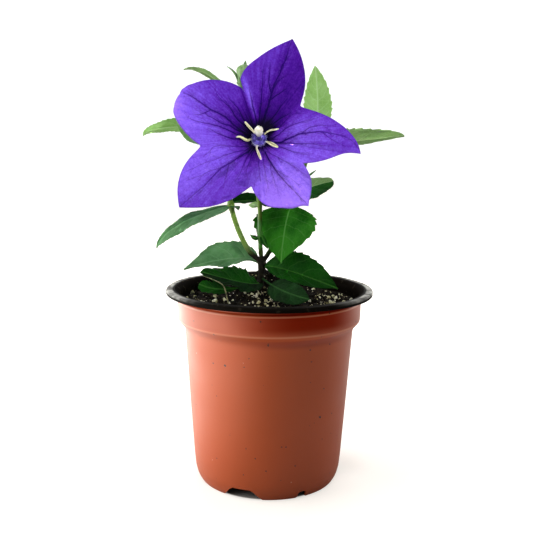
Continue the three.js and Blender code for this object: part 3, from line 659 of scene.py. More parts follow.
paint = Paint("root_bark", Roughness=0.8, Specular_IOR_Level=0.1)
rough = paint.noise(700, 5)
bark = rough.ramp((0.3, (0.003, 0.003, 0.002)), (0.6, (0.012, 0.010, 0.005)), (0.8, (0.05, 0.04, 0.02)))
green = paint.mix(rough, (0.015, 0.03, 0.004), (0.05, 0.08, 0.015))
where = paint.split()[2].between(0.0975, 0.1015) + (rough - 0.5) * 0.6
paint.set(Base_Color=paint.mix(where.between(0.2, 0.8), bark, green))
paint.bumps((rough, 0.0005, 0.6))
lines = [ROOT_LINE]
for name in STEMS:
    shared = piece_of(PATHS[name], 0, FORK_LENGTH / length_of(PATHS[name]))
    swell = 1 + 0.28 * np.exp(-(np.linspace(0, 7, len(shared)) / 1.6) ** 2)
    lines.append([(place, SHOOTS[name][0] / TRUNK_RADIUS * grow) for place, grow in zip(shared, swell)])
wood = tube_piece("rootstock_wood", lines, paint.mat, TRUNK_RADIUS, ripple=0.0007)
finished(wood, [paint.mat])
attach(wood, "root")
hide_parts("rootstock")


# The three shoots are round green stems with faint ridges, a little thicker where a leaf grows.
# They are pale yellow-green, darker on the shaded middle one, and each grew in one piece.
LEAVES = [
    ("leaf_soil_front", "rootstock", 0.62, (5.4, -19, 87.1), (16, -29, 85.6), 5.6, (-0.28, -0.73, 0.62), 6,
     {"curl": 0.5, "widest": 0.45, "full": 1.25, "stalk": 0.25, "sides": (0.92, 1.06), "wave": 1.0, "pleat": 0.8,
      "look": "shade_and_dirt"}),
    ("leaf_soil_left", "rootstock", 0.5, (-11.4, -6, 87.9), (-29.3, -10, 93.1), 6.4, (0, -0.65, 0.76), 18,
     {"widest": 0.5, "full": 1.1, "stalk": 0.1, "wave": 1.3, "pleat": 0.8, "tooth": 0.09, "halves": "shade_and_dirt"}),
    ("leaf_lower_left", "rootstock", 0.97, (-16.4, 7, 96.6), (-38.3, 5, 92), 9.2, (0, -0.52, 0.85), 14,
     {"widest": 0.56, "full": 3.1, "sides": (0.76, 1.11), "look": "grey"}),
    ("leaf_lower_right", "rootstock", 0.9, (7.8, -7, 93.7), (28.8, -14, 87.3), 8.3, (0.07, -0.83, 0.55), 20,
     {"widest": 0.6, "full": 2.6, "sides": (1.11, 0.8)}),
    ("leaf_middle_low_left", "stem_middle", 0.14, (-6.7, -4, 107.1), (-8.5, -4.5, 108.6), 1.2, (-0.3, -0.8, 0.5),
     5,
     {}),
    ("leaf_middle_low_right", "stem_middle", 0.155, (-2.4, -4.6, 105.4), (-0.8, -5.6, 102.7), 1.3,
     (0.3, -0.8, 0.5), 5,
     {}),
    ("leaf_middle_hanging", "stem_middle", 0.335, (-1.2, -0.6, 122.2), (3, 0.5, 120.8), 2.3, (0, -0.9, 0.4), 8,
     {}),
    ("leaf_middle_pale", "stem_middle", 0.3, (-7.4, -1.6, 121), (-9.4, 0, 120.8), 1.6, (-0.2, -0.8, 0.6), 5,
     {"look": "young"}),
    ("leaf_front_drooping", "stem_right", 0.43, (6.6, -4.5, 113), (4.7, -8, 96.8), 15.9, (-0.55, -0.81, 0.2), 5,
     {"widest": 0.49, "full": 2.58, "sides": (1.04, 1), "pleat": 0.15, "wave": 0.3, "look": "broad"}),
    ("leaf_right_folded", "stem_right", 0.47, (15, -3.4, 128.1), (26.8, -3, 131.7), 7.8, (-0.3, -0.76, 0.58), 24,
     {"widest": 0.57, "full": 1.2, "sides": (0.48, 1.22), "halves": "olive"}),
    ("leaf_right_sliver", "stem_right", 0.6, (17.2, 1.8, 134), (19.4, 1.5, 136), 0.6, (0, -0.6, 0.8), 10, {}),
    ("leaf_right_back", "stem_right", 0.45, (12, 16, 127), (14, 31, 128), 6, (0, -0.4, 0.9), 14, {}),
    ("leaf_left_long", "stem_left", 0.46, (-38, -8, 113.2), (-48.1, -10, 103.1), 5.9, (-0.2, -0.62, 0.76), 14,
     {"widest": 0.39, "full": 1.5, "sides": (1.2, 0.44), "look": "grey"}),
    ("leaf_left_node_right", "stem_left", 0.475, (-7.4, 7, 122.2), (3, 8, 119.6), 4, (0, -0.6, 0.8), 25, {}),
    ("leaf_left_node_small", "stem_left", 0.45, (-14.6, -4, 120.4), (-13.4, -8, 119.4), 1.8, (0.2, -0.5, 0.8), 5,
     {}),
    ("leaf_left_back", "stem_left", 0.62, (-24, 20, 134), (-32, 32, 131), 6.5, (-0.2, -0.2, 1), 14, {}),
    ("leaf_left_upper", "stem_left", 0.72, (-27, 1, 151.5), (-40.3, -1, 156.7), 8, (-0.21, -0.96, 0.19), 8,
     {"widest": 0.7, "full": 2.14, "look": "young", "tooth": 0.02}),
    ("leaf_middle_back", "stem_middle", 0.62, (-2, 28, 146), (4, 41, 143), 7, (0, -0.3, 1), 14, {}),
    ("leaf_upper_left", "stem_middle", 0.76, (-40.6, 18, 153.9), (-55.9, 9, 150.2), 5.2, (-0.01, -0.76, 0.65), 22,
     {"widest": 0.32, "full": 0.92, "sides": (1.09, 0.87), "look": "young"}),
    ("leaf_upper_left_narrow", "stem_middle", 0.92, (-28.2, 20, 176.5), (-39.3, 20, 179.2), 1.8,
     (-0.45, -0.5, 0.74), 20,
     {"widest": 0.55, "full": 1.76, "look": "olive"}),
    ("leaf_upper_back", "stem_middle", 0.88, (-6, 31, 170), (-2, 42, 171), 5.5, (0, -0.4, 0.95), 14,
     {"look": "young"}),
    ("leaf_upper_right_erect", "stem_right", 0.965, (19.8, 7.2, 165.4), (18.4, 5.5, 180.1), 6.5,
     (0.11, -0.99, 0.1), 10,
     {"widest": 0.41, "full": 1.48, "sides": (1.04, 0.96), "look": "young"}),
    ("leaf_upper_right", "stem_right", 0.93, (31.2, 8, 148.2), (57.4, 5, 151.3), 7.1, (0, -0.6, 0.8), 20,
     {"widest": 0.51, "full": 1.43, "sides": (1.02, 0.99), "look": "olive"}),
    ("leaf_right_top_back", "stem_right", 0.95, (26, 24, 153), (29, 36, 149), 6, (0, -0.3, 1), 14, {}),
    ("leaf_soil_left", "rootstock", 0.5, (-19, -12, 86), (-29.5, -14.5, 88.6), 3.2, (0, -0.75, 0.66), 10,
     {"widest": 0.7, "full": 1.2, "stalk": 0.3, "wave": 1.2, "pleat": 0.8, "tooth": 0.1, "mark": "_curled"}),
]
FORK_OVERLAP = 0.4
NODE_SWELLING = 0.22

paint = Paint("stem_green", Roughness=0.42, Specular_IOR_Level=0.25, Subsurface_Weight=0.15,
              Subsurface_Radius=(0.5, 1.0, 0.2), Subsurface_Scale=0.0008)
across, _, height = paint.split()
fibre = paint.noise(1500, 3, paint.stretched(0.12))
tone = paint.mix(fibre, (0.07, 0.155, 0.010), (0.15, 0.27, 0.02))
tone = paint.mix(height.between(0.098, 0.106, 1, 0), tone, (0.02, 0.035, 0.005))
shaded = across.band(-0.0085, -0.007, -0.003, 0) * height.between(0.113, 0.117, 1, 0)
dark = paint.mix(fibre, (0.02, 0.10, 0.008), (0.05, 0.17, 0.02))
paint.set(Base_Color=paint.mix(shaded, tone, dark))
paint.bumps((fibre, 0.0002, 0.5), (paint.noise(700, 3), 0.0002, 0.3))
for name in STEMS:
    radius, path = SHOOTS[name][0], PATHS[name]
    whole = length_of(path)
    begins = (FORK_LENGTH - FORK_OVERLAP) / whole
    line = piece_of(path, begins, 1)
    share = np.linspace(begins, 1, len(line))
    girth = 1.0 - 0.12 * share
    for leaf in LEAVES:
        if leaf[1] == name:
            girth += NODE_SWELLING * np.exp(-((share - leaf[2]) * whole / 1.3) ** 2)
    stem = tube_piece(name + "_grown", [list(zip(line, girth))], paint.mat, radius, ripple_size=600.0)
    finished(stem, [paint.mat])
    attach(stem, "root")
    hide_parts(name)


# Each leaf is one thin toothed blade with a narrow foot, folded a little along its midrib. The upper
# side is dark with a grey-green bloom, the lower side is paler, and the young leaves are light and thin.
LEAF_THICKNESS = 0.42
LEAF_GAP = 0.55
PETIOLE_HALF_WIDTH = 0.55
TIP_HALF_WIDTH = 0.12
TOOTH_SPACING = 2.6
ROWS_A_TOOTH = 7
WIDE_LEAF_COLUMNS = 11
NARROW_LEAF_COLUMNS = 5
VEINS_A_SIDE = 6
BELOW_DARK = [(0.03, 0.16, 0.02), (0.07, 0.26, 0.04), (0.15, 0.38, 0.1), 0.15, (0.06, 0.42, 0.02), 0.35, 0.6, 0.1]
LEAF_LOOKS = {
    "dark": ("leaf", [(0.001, 0.028, 0.0006), (0.004, 0.062, 0.0015), (0.04, 0.16, 0.02), 0.08,
                      (0.03, 0.26, 0.008), 0.02, 0.5, 0.04], BELOW_DARK),
    # The last value paints the hanging front leaf paler towards its tip: painted light below the flower's shade.
    "broad": ("broad_leaf", [(0.001, 0.05, 0.0), (0.022, 0.15, 0.008), (0.07, 0.24, 0.04), 0.08,
                             (0.05, 0.36, 0.01), 0.0, 0.5, 0.02, 0.7], BELOW_DARK),
    # A near-black green: dirt and painted shade on leaves low on the peat; over half of a leaf it is a painted
    # shadow.
    "shade_and_dirt": ("soiled_leaf", [(0.0008, 0.006, 0.001), (0.004, 0.024, 0.004), (0.02, 0.07, 0.015), 0.05,
                               (0.02, 0.1, 0.01), 0.03, 0.7, 0.02],
               [(0.01, 0.05, 0.008), (0.03, 0.1, 0.02), (0.07, 0.2, 0.05), 0.1,
                (0.04, 0.2, 0.02), 0.2, 0.7, 0.05]),
    # A paler, more bloomed look: real bloom, and a painted sheen where these left leaves catch the light.
    "grey": ("bloomed_leaf", [(0.014, 0.085, 0.014), (0.05, 0.175, 0.045), (0.12, 0.3, 0.11), 0.1,
                              (0.06, 0.36, 0.04), 0.4, 0.55, 0.15],
             [(0.05, 0.2, 0.04), (0.1, 0.3, 0.08), (0.2, 0.42, 0.14), 0.15,
              (0.08, 0.42, 0.05), 0.4, 0.6, 0.15]),
    "young": ("young_leaf", [(0.18, 0.35, 0.07), (0.42, 0.62, 0.26), (0.56, 0.74, 0.4), 0.45,
                             (0.48, 0.74, 0.28), 0.0, 0.5, 0.12],
              [(0.26, 0.42, 0.14), (0.38, 0.56, 0.23), (0.52, 0.7, 0.36), 0.45,
               (0.48, 0.74, 0.28), 0.0, 0.6, 0.12]),
    "olive": ("growing_leaf", [(0.13, 0.23, 0.06), (0.22, 0.36, 0.11), (0.36, 0.52, 0.22), 0.35,
                               (0.3, 0.5, 0.16), 0.1, 0.5, 0.12],
              [(0.16, 0.27, 0.09), (0.25, 0.4, 0.15), (0.4, 0.55, 0.26), 0.35,
               (0.3, 0.5, 0.16), 0.1, 0.6, 0.12]),
}


def unit_rows(vectors):
    return vectors / np.linalg.norm(vectors, axis=1)[:, None]


def leaf_sheet(leaf, number):
    name, on, at, middle, tip, half, face, fold, more = leaf
    rng = np.random.default_rng(40 + number)
    node, along = point_at(PATHS[on], at)
    middle, tip, face = (np.array(value, float) for value in (middle, tip, face))
    outward = middle - node
    outward -= along * (outward @ along)
    outward /= np.linalg.norm(outward)
    base = node + outward * (SHOOTS[on][0] * 0.6)
    outer = node + outward * (SHOOTS[on][0] + LEAF_GAP)
    control = 2 * middle - (outer + tip) / 2
    long = np.linalg.norm(middle - base) + np.linalg.norm(tip - middle)
    teeth = max(int(long / TOOTH_SPACING), 4)
    rows = max(teeth * ROWS_A_TOOTH, 30)
    columns = WIDE_LEAF_COLUMNS if half > 3 else NARROW_LEAF_COLUMNS
    u = np.linspace(0, 1, rows + 1)
    widest, full, stalk = more.get("widest", 0.4), more.get("full", 1.7), more.get("stalk", 0)
    safe = np.clip((u - stalk) / (1 - stalk), 1e-6, 1 - 1e-6)
    outline = (safe / widest) ** (widest * full) * ((1 - safe) / (1 - widest)) ** ((1 - widest) * full)
    saw = (u * teeth + 0.1) % 1.0
    tooth = np.where((u > 0.16) & (u < 0.97), saw ** 1.4, 0.5)
    usual = 0.07 if more.get("look") in ("young", "olive") else 0.045
    depth = more.get("tooth", usual) * np.clip((u - 0.12) * 6, 0, 1)
    width = half * outline * (1 - depth * (1 - tooth) * 1.6 + depth * 0.5)
    thin = PETIOLE_HALF_WIDTH + (TIP_HALF_WIDTH - PETIOLE_HALF_WIDTH) * u
    t = u[:, None]
    rib = (1 - t) ** 2 * base + 2 * t * (1 - t) * control + t ** 2 * tip
    tangent = unit_rows(2 * (1 - t) * (control - base) + 2 * t * (tip - control))
    normal = unit_rows(face - tangent * (tangent @ face)[:, None])
    side = np.cross(tangent, normal)
    v = np.sin(np.linspace(-1, 1, 2 * columns + 1) * math.pi / 2 * 0.92) / math.sin(math.pi / 2 * 0.92)
    bend = math.radians(fold)
    uu, vv = u[:, None], v[None, :]
    out = np.abs(vv)
    left, right = more.get("sides", (1, 1))
    wide = np.maximum(width[:, None] * np.where(vv < 0, left, right), thin[:, None])
    lift = out * wide * math.sin(bend) + more.get("curl", 0) * vv ** 2 * outline[:, None]
    rank = VEINS_A_SIDE * (uu - 0.13 * out - 0.1 * vv ** 2)
    between = 0.5 - 0.5 * np.cos(math.tau * rank)
    size = min(half / 8, 1.2)
    pleat = size * more.get("pleat", 0.36) * (between - 0.5) * np.minimum(out * 3, 1) * (1 - 0.6 * out)
    lift = lift + pleat * outline[:, None]
    phases = rng.uniform(0, math.tau, 4)
    wave = np.where(vv < 0, np.sin(uu * 11 + phases[0]) + 0.6 * np.sin(uu * 23 + phases[1]),
                    np.sin(uu * 12 + phases[2]) + 0.6 * np.sin(uu * 21 + phases[3]))
    lift = lift + more.get("wave", 0.5) * size * wave * out ** 2.2 * outline[:, None]
    lift = lift - 0.35 * size * np.exp(-(vv * wide / 0.55) ** 2)
    point = (rib[:, None, :] + side[:, None, :] * (vv * wide * math.cos(bend))[..., None]
             + normal[:, None, :] * lift[..., None])
    thick = LEAF_THICKNESS / 2 * (1 - 0.5 * out) * np.ones_like(uu)
    keel = 0.5 * size * np.exp(-(vv * wide / 0.5) ** 2)
    upper = point + normal[:, None, :] * thick[..., None]
    lower = point - normal[:, None, :] * (thick + keel)[..., None]
    ring = np.concatenate([upper, lower[:, ::-1, :]], axis=1)
    turn = ring.shape[1]
    faces, sides = [], []
    for row in range(rows):
        a, b = row * turn, (row + 1) * turn
        faces += [(a + k, a + (k + 1) % turn, b + (k + 1) % turn, b + k) for k in range(turn)]
        sides += [int(2 * columns < k < turn - 1) for k in range(turn)]
    faces += [tuple(range(turn))[::-1], tuple(rows * turn + k for k in range(turn))]
    blade = mesh_piece("blade" + name[4:] + more.get("mark", ""), ring.reshape(-1, 3), faces)
    across = np.concatenate([v, v[::-1]])
    where = np.stack([np.repeat(u, turn), np.tile(across, rows + 1) * 0.5 + 0.5], axis=1)
    index = np.zeros(len(blade.data.loops), int)
    blade.data.loops.foreach_get("vertex_index", index)
    blade.data.uv_layers.new(name="leaf").data.foreach_set("uv", where[index].ravel())
    blade.data.polygons.foreach_set("material_index", sides + [1, 1])
    gap = out * wide * np.ones_like(uu)
    mark(blade, "from_rib", np.concatenate([gap, gap[:, ::-1]], axis=1).ravel())
    return blade


def leaf_face(name, dark, light, vein, glow, through, bloom, gloss, shine, tip=0.0):
    """A leaf face: its two greens and vein colour, how much light comes through and in what colour,
    its bloom, which on the grey leaves is also a painted sheen, roughness and shine, and how much paler the tip
    is, as painted light."""
    paint = Paint(name, Roughness=gloss, Specular_IOR_Level=shine)
    u, across, _ = paint.split(paint.node("UVMap", uv_map="leaf"))
    v = (across * 2 - 1).math("ABSOLUTE")
    rank = (u - (v * 0.13 + v * v * 0.1) + (paint.noise(260, 2) - 0.5) * 0.05) * VEINS_A_SIDE
    off = ((rank + 0.5).math("FRACT") - 0.5).math("ABSOLUTE")
    lateral = off.between(0.015, 0.06, 1, 0) * v.between(0.75, 1, 1, 0)
    net = paint.cells(620, "DISTANCE_TO_EDGE").between(0.02, 0.1, 1, 0)
    rib = paint.attribute("from_rib").between(0.18, 0.5, 1, 0)
    raised = lateral.most(rib)
    # The tip may be painted paler: painted light where a leaf hangs out of shade.
    pale = u.between(0.5, 0.9) * tip + paint.noise(130, 4).ramp((0.32, 0), (0.7, 1))
    young = glow > 0.3
    tone = paint.mix(pale.math("MINIMUM", 1), dark, light)
    tone = paint.mix(net * (0.3 if young else 0.1), tone, vein)
    tone = paint.mix(lateral * (0.5 if young else 0.3), tone, vein)
    tone = paint.mix(rib * 0.85, tone, vein)
    # Bloom, which on the grey leaves also stands for a painted sheen.
    bloom_and_sheen_share = paint.noise(300, 5).ramp((0.35, 0.35), (0.65, 1)) * bloom
    tone = paint.mix(bloom_and_sheen_share, tone, (0.16, 0.34, 0.15))
    paint.set(Base_Color=paint.mix(v.between(0.93, 1) * 0.35, tone, light))
    normal = paint.bumps((net * -1, 0.00012, 0.45), (raised * -1, 0.0004, 0.5),
                         (paint.noise(1800, 2), 0.00005, 0.4))
    return paint.mix_in("Translucent", glow, {"Color": paint.mix(raised * 0.5, through, vein), "Normal": normal})


LEAF_FACES = {look: [leaf_face(prefix + "_upper_side", *upper), leaf_face(prefix + "_lower_side", *lower)]
              for look, (prefix, upper, lower) in LEAF_LOOKS.items()}
UPPER, OTHER_HALF = 0, 2
for number, leaf in enumerate(LEAVES):
    blade = leaf_sheet(leaf, number)
    look = leaf[8].get("look", "dark")
    halves = leaf[8].get("halves", look)
    faces = list(LEAF_FACES[look])
    # A leaf may take another look on one half of its upper side: a painted shadow on the left leaf on the peat,
    # painted light with a younger green on the folded right leaf.
    if halves != look:
        faces.append(LEAF_FACES[halves][UPPER])
        around = 2 * (2 * WIDE_LEAF_COLUMNS + 1)
        for index, face in enumerate(blade.data.polygons):
            if index % around < WIDE_LEAF_COLUMNS and face.material_index == UPPER:
                face.material_index = OTHER_HALF
    finished(blade, faces, 75)
    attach(blade, "root")
    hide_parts(leaf[0])


# The withered stalk is a dry, pale brown leaf stalk that has come off the plant. It lies over the left
# leaf on the peat, with its lower end on the crumbs.
paint = Paint("dry_straw", Roughness=0.75)
paint.set(Base_Color=paint.noise(900, 4).ramp((0.35, (0.10, 0.10, 0.04)), (0.6, (0.36, 0.36, 0.17))))
paint.bumps((paint.noise(1500, 3), 0.0003, 0.6))
path = smooth_path([(-28.4, -13.5, 92.0), (-25, -14, 91), (-21.7, -14.5, 89.7), (-19.4, -15, 88.2),
                    (-18.3, -15, 85.6), (-17.7, -14.5, 82.6), (-17.0, -14, 80.2)])
line = [(spot, 0.3 + 0.7 * k / len(path)) for k, spot in enumerate(path)]
stalk = tube_piece("withered_stalk", [line], paint.mat, 0.34, sides=8, ripple=0.0003)
finished(stalk, [paint.mat])
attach(stalk, "root")
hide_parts("leaf_soil_left")


# The corolla is one thin violet bell that opens into five pointed lobes. Dark veins branch from the throat,
# the left tip rolls back, the top lobe overlaps the left one, and painted light and shade leave the bottom lobe
# palest.
THROAT = np.array([-5, -6, 148.6])
FLOWER_TILT = math.radians(10)
E1 = np.array([1.0, 0, 0])
E2 = np.array([0, math.sin(FLOWER_TILT), math.cos(FLOWER_TILT)])
AXIS = np.array([0, -math.cos(FLOWER_TILT), math.sin(FLOWER_TILT)])
FLOWER = (THROAT, E1, E2, AXIS)
PETAL_THICKNESS = 0.45
BELL_LENGTH = 48.0
BELL_STEPS = 160
BELL_FLOOR = 2.2
CURL_STARTS = 34
COLUMNS, ROWS = 400, 112
LOBE_STEPS = 240
# Each lobe's shade is painted light and shade for the way it faces: at its throat end, at its tip and across its
# keel.
LOBES = [
    {"tip": -10, "length": 44.6, "low": (0.60, 1.31, 0.129), "high": (1.45, 1.34, -0.102), "lean": 0, "curl": 3,
     "shade": (0.5, -0.5, 0.0)},
    {"tip": 71, "length": 43.2, "low": (1.01, 1.06, 0.047), "high": (0.81, 0.47, -0.075), "lean": 0, "curl": 0,
     "shade": (-1.5, -1.0, 0.5)},
    {"tip": 153, "length": 44, "low": (0.62, 1.21, 0.193), "high": (0.76, 1.01, 0.151), "lean": 0, "curl": 26,
     "shade": (-1.0, 0.5, 0.5)},
    {"tip": 224, "length": 46.6, "low": (2.85, 1.51, -0.242), "high": (1.01, 1.47, 0.102), "lean": 0, "curl": 0,
     "shade": (0.0, 0.0, -0.5)},
    {"tip": 304, "length": 41.4, "low": (0.78, 1.12, 0.300), "high": (0.97, 1.42, 0.216), "lean": 14, "curl": 0,
     "shade": (0.5, 1.5, 0.0)},
]
NOTCHES = [(-31, 23.4), (36.6, 23.1), (109, 20.8), (190, 26.3), (262.4, 23.3), (329, 23.4)]
TWIG_STEP = 1.1
VIOLETS = [(0.045, 0.0, 0.23), (0.108, 0.01, 0.42), (0.19, 0.05, 0.63), (0.30, 0.137, 0.85), (0.46, 0.25, 1.0)]
BACK_VIOLETS = [(0.09, 0.01, 0.34), (0.14, 0.03, 0.48), (0.2, 0.07, 0.62), (0.3, 0.14, 0.78), (0.42, 0.24, 0.9)]
VEINS = [
    [[(2.4, 82), (7.2, 75), (13.4, 75), (19.6, 74), (24.1, 74), (28.4, 72), (34.2, 71), (40, 71), (43.1, 71)],
     [(22.2, 74), (25.6, 71), (27.8, 68), (30, 65)], [(17.2, 75), (19.8, 68), (22.5, 63), (24.7, 60)], [(6.9, 64),
     (11.9, 56), (17, 55), (21.5, 54)], [(5.4, 90), (11.5, 88), (17.4, 87), (22.5, 87), (27.1, 87), (31.7, 86)],
     [(6.3, 99), (11.7, 101), (17, 102), (21.4, 102)], [(6.5, 56), (10.7, 45), (14.2, 41), (18.4, 37)],
     [(19.6, 74), (24.3, 80), (28.5, 81), (32.7, 81)], [(28.4, 72), (32.5, 72), (35.4, 70), (37.6, 68)]],
    [[(2.2, 159), (6.6, 162), (12.5, 154), (17.5, 150), (21, 151), (24.3, 152), (27.3, 152), (33.7, 151),
     (38, 152)], [(8.1, 141), (11.4, 140), (14.1, 140), (17.7, 136), (21, 136), (23.4, 137), (26.4, 136),
     (28, 135)], [(8.1, 133), (11.7, 130), (14.5, 127), (16.6, 127), (19.2, 128), (21.5, 129), (23.1, 128)],
     [(7.2, 122), (10, 124), (12.3, 121)], [(5.4, 174), (10.5, 171), (15.6, 167), (19.7, 166), (23.5, 167),
     (27.3, 168), (30.3, 168), (32.7, 167)], [(6.2, 183), (11.9, 183), (15.9, 179), (19.9, 175), (23.1, 172)],
     [(9.2, 161), (14.6, 159), (18.5, 161), (22.8, 159), (27, 159), (30.2, 159)], [(24.3, 152), (25.6, 157),
     (28.1, 162), (30.1, 163)]],
    [[(3.1, 229), (7.3, 232), (12.2, 225), (17, 223), (22.2, 221), (27.5, 223), (33, 224), (38.9, 224),
     (45.9, 224)], [(5.1, 223), (9.5, 205), (14, 197), (17.8, 193), (21.1, 194), (24, 199), (26.8, 202)],
     [(7.3, 223), (12.2, 213), (17.1, 209), (22.3, 209), (26.5, 208), (29.7, 208), (36, 208)], [(19.8, 222),
     (23.8, 219), (27.2, 217), (31.3, 216), (37.5, 214)], [(17.9, 222), (21.4, 229), (25.3, 234), (28.3, 237)],
     [(8, 236), (12.3, 240), (16, 243), (19.8, 244), (23.7, 243)], [(7.1, 246), (11.4, 249), (15.1, 250),
     (18.6, 251)]],
    [[(6.6, 295), (11.7, 295), (17.4, 297), (23.3, 299), (29.3, 301), (35.1, 303), (40.5, 304)], [(7.2, 286),
     (11.7, 280), (16.5, 281), (20.4, 280), (25.4, 281)], [(7.8, 273), (11.5, 270), (16.1, 271), (21, 273)],
     [(11.7, 295), (16.5, 291), (21.4, 290), (26.3, 288)], [(7.2, 303), (12.5, 314), (18.3, 318), (23.8, 320),
     (28.5, 318)], [(17.4, 297), (20.9, 303), (26, 307), (31.2, 308)]],
    [[(4.6, -22), (10.3, -10), (14.9, 1), (18.9, 4), (22.8, 4), (27.4, 4), (32.6, 1), (37, -1), (40.7, -4),
     (43.6, -8)], [(5.9, 2), (9.4, 12), (13.3, 20), (16.7, 20), (19.9, 19), (23.8, 18), (27.7, 17)], [(5.9, 22),
     (9.5, 28), (13.7, 32), (17.7, 34), (20.4, 33)], [(8.7, -14), (13.6, -10), (18.3, -9), (23, -8), (31.5, -9)],
     [(6.6, -24), (11.8, -22), (16.2, -23), (20.5, -22), (24.5, -21)], [(18.9, 4), (23.1, 10), (26.9, 10),
     (30.6, 8), (34.2, 6)], [(27.4, 4), (31.1, -2), (35, -6), (38.1, -8)]],
]


def flower_point(x, y, z):
    return THROAT + np.outer(x, E1) + np.outer(y, E2) + np.outer(z, AXIS)


def bell(length, lean, curl):
    """Radius and height of the bell at a length along it, and its slope, for arrays of lean and curl."""
    here = (np.arange(BELL_STEPS) + 0.5) / BELL_STEPS * BELL_LENGTH
    share = np.minimum((here - BELL_FLOOR) / 41, 1.2)
    slope = (30 - 15 * share + lean[:, None] * np.clip((here - 8) / 15, 0, 1)
             - curl[:, None] * np.maximum(here - CURL_STARTS, 0) * 0.5)
    slope = np.radians(np.where(here < BELL_FLOOR, 0, slope))
    start = np.zeros((len(lean), 1))
    radius = np.concatenate([start, np.cumsum(np.cos(slope), 1) * BELL_LENGTH / BELL_STEPS], 1)
    height = np.concatenate([start, np.cumsum(np.sin(slope), 1) * BELL_LENGTH / BELL_STEPS], 1)
    slope = np.concatenate([slope[:, :1], slope], 1)
    marks = np.linspace(0, BELL_LENGTH, BELL_STEPS + 1)
    return [np.stack([np.interp(row, marks, values) for row, values in zip(length, table)])
            for table in (radius, height, slope)]


def margin(lobe, index, across):
    """Angle in degrees and length of the margin, at a place from -1 to 1 across a lobe."""
    notch = NOTCHES[index if across < 0 else index + 1]
    power, root, bump = lobe["low" if across < 0 else "high"]
    away = abs(across)
    reach = max(1 - away ** power, 0) ** root + bump * math.sin(math.pi * away)
    return lobe["tip"] + (notch[0] - lobe["tip"]) * away, notch[1] + (lobe["length"] - notch[1]) * reach


def vein_segments():
    """Short pieces of all veins in the plane of the flower, each with the half-widths of its two ends."""
    rng = random.Random(7)
    pieces = []

    def walk(line, first, last):
        for k in range(len(line) - 1):
            a, b = (k / (len(line) - 1)) ** 1.8, ((k + 1) / (len(line) - 1)) ** 1.8
            pieces.append((*line[k], *line[k + 1], first + (last - first) * a, first + (last - first) * b))

    def twig(start, heading, length, width, depth):
        line, turns = [start], [heading]
        for _ in range(max(int(length / TWIG_STEP), 3)):
            x, y = line[-1]
            turn = turns[-1] + rng.uniform(-0.09, 0.09)
            turn += 0.09 * math.sin(math.atan2(y, x) - turn)
            line.append((x + TWIG_STEP * math.cos(turn), y + TWIG_STEP * math.sin(turn)))
            turns.append(turn)
        walk(line, width, width * 0.4)
        if depth:
            side = rng.choice((-1, 1))
            for k in range(2, len(line) - 1, 3):
                side = -side
                twig(line[k], turns[k] + side * rng.uniform(0.35, 0.6), length * rng.uniform(0.3, 0.55),
                     width * 0.65, depth - 1)

    for lobe, side_width in zip(VEINS, (0.3, 0.27, 0.15, 0.12, 0.19)):
        for number, vein in enumerate(lobe):
            ends = [(s * math.cos(math.radians(a)), s * math.sin(math.radians(a))) for s, a in vein]
            line = []
            for a, b in zip(ends, ends[1:]):
                steps = max(int(math.dist(a, b) / 1.2), 1)
                line += [(a[0] + (b[0] - a[0]) * k / steps, a[1] + (b[1] - a[1]) * k / steps)
                         for k in range(steps)]
            line = [(x + rng.uniform(-0.12, 0.12), y + rng.uniform(-0.12, 0.12)) for x, y in line] + [ends[-1]]
            main = number == 0
            walk(line, 0.18 + side_width if main else side_width, 0.13 if main else 0.11)
            side = rng.choice((-1, 1))
            for k in range(5 if main else 4, len(line) - 1, 2 if main else 3):
                heading = math.atan2(line[k + 1][1] - line[k][1], line[k + 1][0] - line[k][0])
                side = -side
                twig(line[k], heading + side * rng.uniform(0.38, 0.62),
                     rng.uniform(4, 9) if main else rng.uniform(2.5, 6), 0.1, 1)
    return np.array(pieces)


def nearest_vein(points, veins):
    """For points in the flower's plane: the vector to the vein that is nearest by its own half-width,
    and that half-width."""
    best, width = np.full(len(points), 1e9), np.ones(len(points))
    vector = np.zeros((len(points), 2))
    for x0, y0, x1, y1, first, last in veins:
        run = np.array([x1 - x0, y1 - y0])
        rel = points - (x0, y0)
        t = np.clip(rel @ run / (run @ run + 1e-9), 0, 1)
        off = t[:, None] * run - rel
        thick = first + (last - first) * t
        far = np.hypot(off[:, 0], off[:, 1]) / thick
        close = far < best
        best = np.where(close, far, best)
        vector[close] = off[close]
        width = np.where(close, thick, width)
    return vector, width


